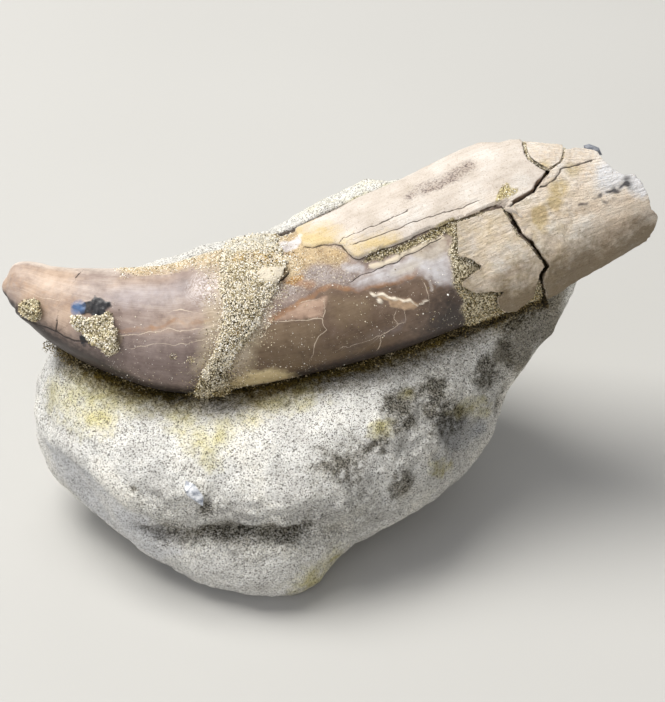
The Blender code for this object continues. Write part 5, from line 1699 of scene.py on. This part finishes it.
class FOSSIL_OT_sand(Operator):
    """Builds the two clumps of sand on the crown and the grains that lie about on the tooth"""

    bl_idname = "fossil.sand"
    bl_label = "Sand"

    def execute(self, context):
        looks = context.scene.fossil_looks
        crust, sand = crust_material(looks), sand_material()
        chance = np.random.default_rng(SEEDS["sand"])
        for node, grains, wet in CLUMPS:
            mesh = remeshed(node, CLUMP_VOXEL)
            points = points_of(mesh)
            front = np.clip((to_bed(points)[:, 2] - 1.0) / 2.0, 0.2, 1.0)
            points = smoothed(mesh, points, 3, np.full(len(points), 0.5))
            push = wavers(points, (0.5, 1.1, 80), (0.2, 0.5, 81))
            points += normals_of(mesh) * push[:, None]
            move_points(mesh, points)
            name = node.replace("sand_", "")
            piece = dress(name + "_crust", mesh, crust, {})
            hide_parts(node)
            chosen = chance.choice(len(points), grains, p=front / front.sum())
            places = points[chosen] + chance.normal(scale=0.12, size=(grains, 3))
            sizes = chance.uniform(*GRAIN_SIZES["clump"], grains)
            damp_and_shade = np.clip(wet + 0.4 * waver(places, 1.1, 19), 0.0, 0.8)
            grain_piece(name + "_grains", places, sizes, damp_and_shade, sand, chance)
        self.specks(sand, chance)
        self.contact(sand, chance)
        return {"FINISHED"}

    def specks(self, sand, chance):
        """Single grains stuck to the bare dentine, and more of them beside the band of sand."""
        along = chance.uniform(18.0, 78.0, SPECKS)
        angle = np.radians(chance.triangular(60.0, 150.0, 180.0, SPECKS))
        sizes = 0.06 + chance.exponential(0.045, SPECKS)
        places = skin_point(along, angle, 0.01)
        grain_piece("stray_grains", to_world(places), sizes, np.zeros(SPECKS), sand, chance)
        tried = FEATHER_GRAINS * FEATHER_TRIES
        along = chance.uniform(16.0, 52.0, tried)
        angle = np.radians(chance.uniform(5.0, 182.0, tried))
        places = skin_point(along, angle, 0.02)
        away = -depth_inside(strayed(places, 1.0, 2.0, 83), BAND_OUTLINE)
        weight = np.where(away > -1.0, np.exp(-np.maximum(away, 0.0) / 0.9), 0.0)
        heaps = [(lay_on_tooth([middle])[0], radius) for middle, radius in GRAIN_HEAPS]
        weight += 2.0 * spot_mask(places, heaps) + 0.2 * patch_mask(places, HONEY_PATCHES[:1])
        weight *= 1 - patch_mask(places, [(RAISED_CHUNK, 0.4)])
        chosen = chance.choice(len(places), FEATHER_GRAINS, replace=False, p=weight / weight.sum())
        places = places[chosen]
        damp_and_shade = np.clip((5.5 - places[:, 1]) / 8.0 + 0.3 * waver(places, 1.6, 17), 0.0, 0.8)
        sizes = chance.uniform(*GRAIN_SIZES["feather"], FEATHER_GRAINS)
        grain_piece("feather_grains", to_world(places), sizes, damp_and_shade, sand, chance)

    def contact(self, sand, chance):
        """Olive, wet sand packed along the tooth's lower edge, where it meets the block. Its grains are
        kept dark, with no pale ones, as painted shade under the tooth.
        """
        along = chance.uniform(9.0, 86.0, CONTACT_GRAINS)
        angle = np.radians(chance.triangular(180.0, 186.0, 204.0, CONTACT_GRAINS))
        places = skin_point(along, angle, chance.triangular(-0.1, 0.3, 2.2, CONTACT_GRAINS))
        sizes = chance.uniform(*GRAIN_SIZES["contact"], CONTACT_GRAINS)
        damp_and_shade = unit(0.95 + 0.3 * waver(places, 2.0, 82))
        grain_piece("contact_sand", to_world(places), sizes, damp_and_shade, sand, chance, 0.6)


class FOSSIL_OT_stage(Operator):
    """Sets the pale floor, the soft lights and the camera"""

    bl_idname = "fossil.stage"
    bl_label = "Stage"

    camera_rise = math.radians(38.0)
    camera_distance = 0.36
    view_width = 36.0
    # Size on the object of one of the 702 pixels of the frame's longer side
    pixel_size = 0.00016
    frame_height = 702
    # What the lamps point at, and each lamp: its name, place, side, power and colour
    aim = Vector((0.0, 0.0, 0.03))
    lamps = (
        ("key", (-0.30, 0.08, 0.76), 0.50, 9.3, "#fffdf8"),
        ("side", (0.58, -0.44, 0.18), 0.5, 1.0, "#fffaf2"),
        ("fill", (-0.58, -0.66, 0.30), 0.8, 3.8, "#f8f9ff"),
        ("rim", (0.10, 0.70, 0.45), 0.6, 1.0, "#ffffff"),
    )

    def execute(self, context):
        looks = context.scene.fossil_looks
        half = looks.floor_size / 2
        mesh = bpy.data.meshes.new("floor")
        corners = [(-half, -half, 0), (half, -half, 0), (half, half, 0), (-half, half, 0)]
        mesh.from_pydata(corners, [], [(0, 1, 2, 3)])
        mesh.materials.append(floor_material())
        floor = bpy.data.objects.new("floor", mesh)
        context.scene.collection.objects.link(floor)
        for lamp in self.lamps:
            self.light(context, *lamp)
        world = bpy.data.worlds.new("studio")
        world.use_nodes = True
        sky = world.node_tree.nodes["Background"]
        set_inputs(world.node_tree, sky, {"Color": hex_colour("#e6e8ec"), "Strength": 0.30})
        context.scene.world = world
        context.scene.view_settings.view_transform = "Standard"
        self.camera(context)
        return {"FINISHED"}

    def light(self, context, name, place, size, power, tone):
        """A square softbox that faces the fossil."""
        lamp = bpy.data.lights.new(name, "AREA")
        lamp.shape = "SQUARE"
        lamp.size = size
        lamp.energy = power
        lamp.color = hex_colour(tone)[:3]
        holder = bpy.data.objects.new(name, lamp)
        holder.location = place
        holder.rotation_euler = (self.aim - Vector(place)).to_track_quat("-Z", "Y").to_euler()
        context.scene.collection.objects.link(holder)

    def camera(self, context):
        """Looks down on the bed along its lean."""
        lens = bpy.data.cameras.new("camera")
        lens.sensor_width = self.view_width
        lens.lens = self.view_width * self.camera_distance / (self.frame_height * self.pixel_size)
        lens.clip_start = 0.01
        holder = bpy.data.objects.new("camera", lens)
        back = Vector((0.0, -math.cos(self.camera_rise), math.sin(self.camera_rise)))
        holder.location = Vector(BED_ORIGIN) * MM + back * self.camera_distance
        holder.rotation_euler = (-back).to_track_quat("-Z", "Y").to_euler()
        context.scene.collection.objects.link(holder)
        context.scene.camera = holder


class FOSSIL_PT_panel(Panel):
    """Lists the fossil's pieces in the sidebar"""

    bl_idname = "FOSSIL_PT_panel"
    bl_label = "Fossil tooth"
    bl_space_type = "VIEW_3D"
    bl_region_type = "UI"
    bl_category = "Fossil"

    def draw(self, context):
        looks = context.scene.fossil_looks
        for name in looks.__annotations__:
            self.layout.prop(looks, name)
        for operator in OPERATORS:
            self.layout.operator(operator.bl_idname)


OPERATORS = (FOSSIL_OT_stage, FOSSIL_OT_block, FOSSIL_OT_tooth, FOSSIL_OT_root, FOSSIL_OT_sand)
CLASSES = (FossilLooks, *OPERATORS, FOSSIL_PT_panel)


def register():
    for kind in CLASSES:
        bpy.utils.register_class(kind)
    bpy.types.Scene.fossil_looks = PointerProperty(type=FossilLooks)


def unregister():
    del bpy.types.Scene.fossil_looks
    for kind in reversed(CLASSES):
        bpy.utils.unregister_class(kind)


def main():
    register()
    bpy.ops.fossil.stage()
    bpy.ops.fossil.block()
    bpy.ops.fossil.tooth()
    bpy.ops.fossil.root()
    bpy.ops.fossil.sand()


if __name__ == "__main__":
    main()
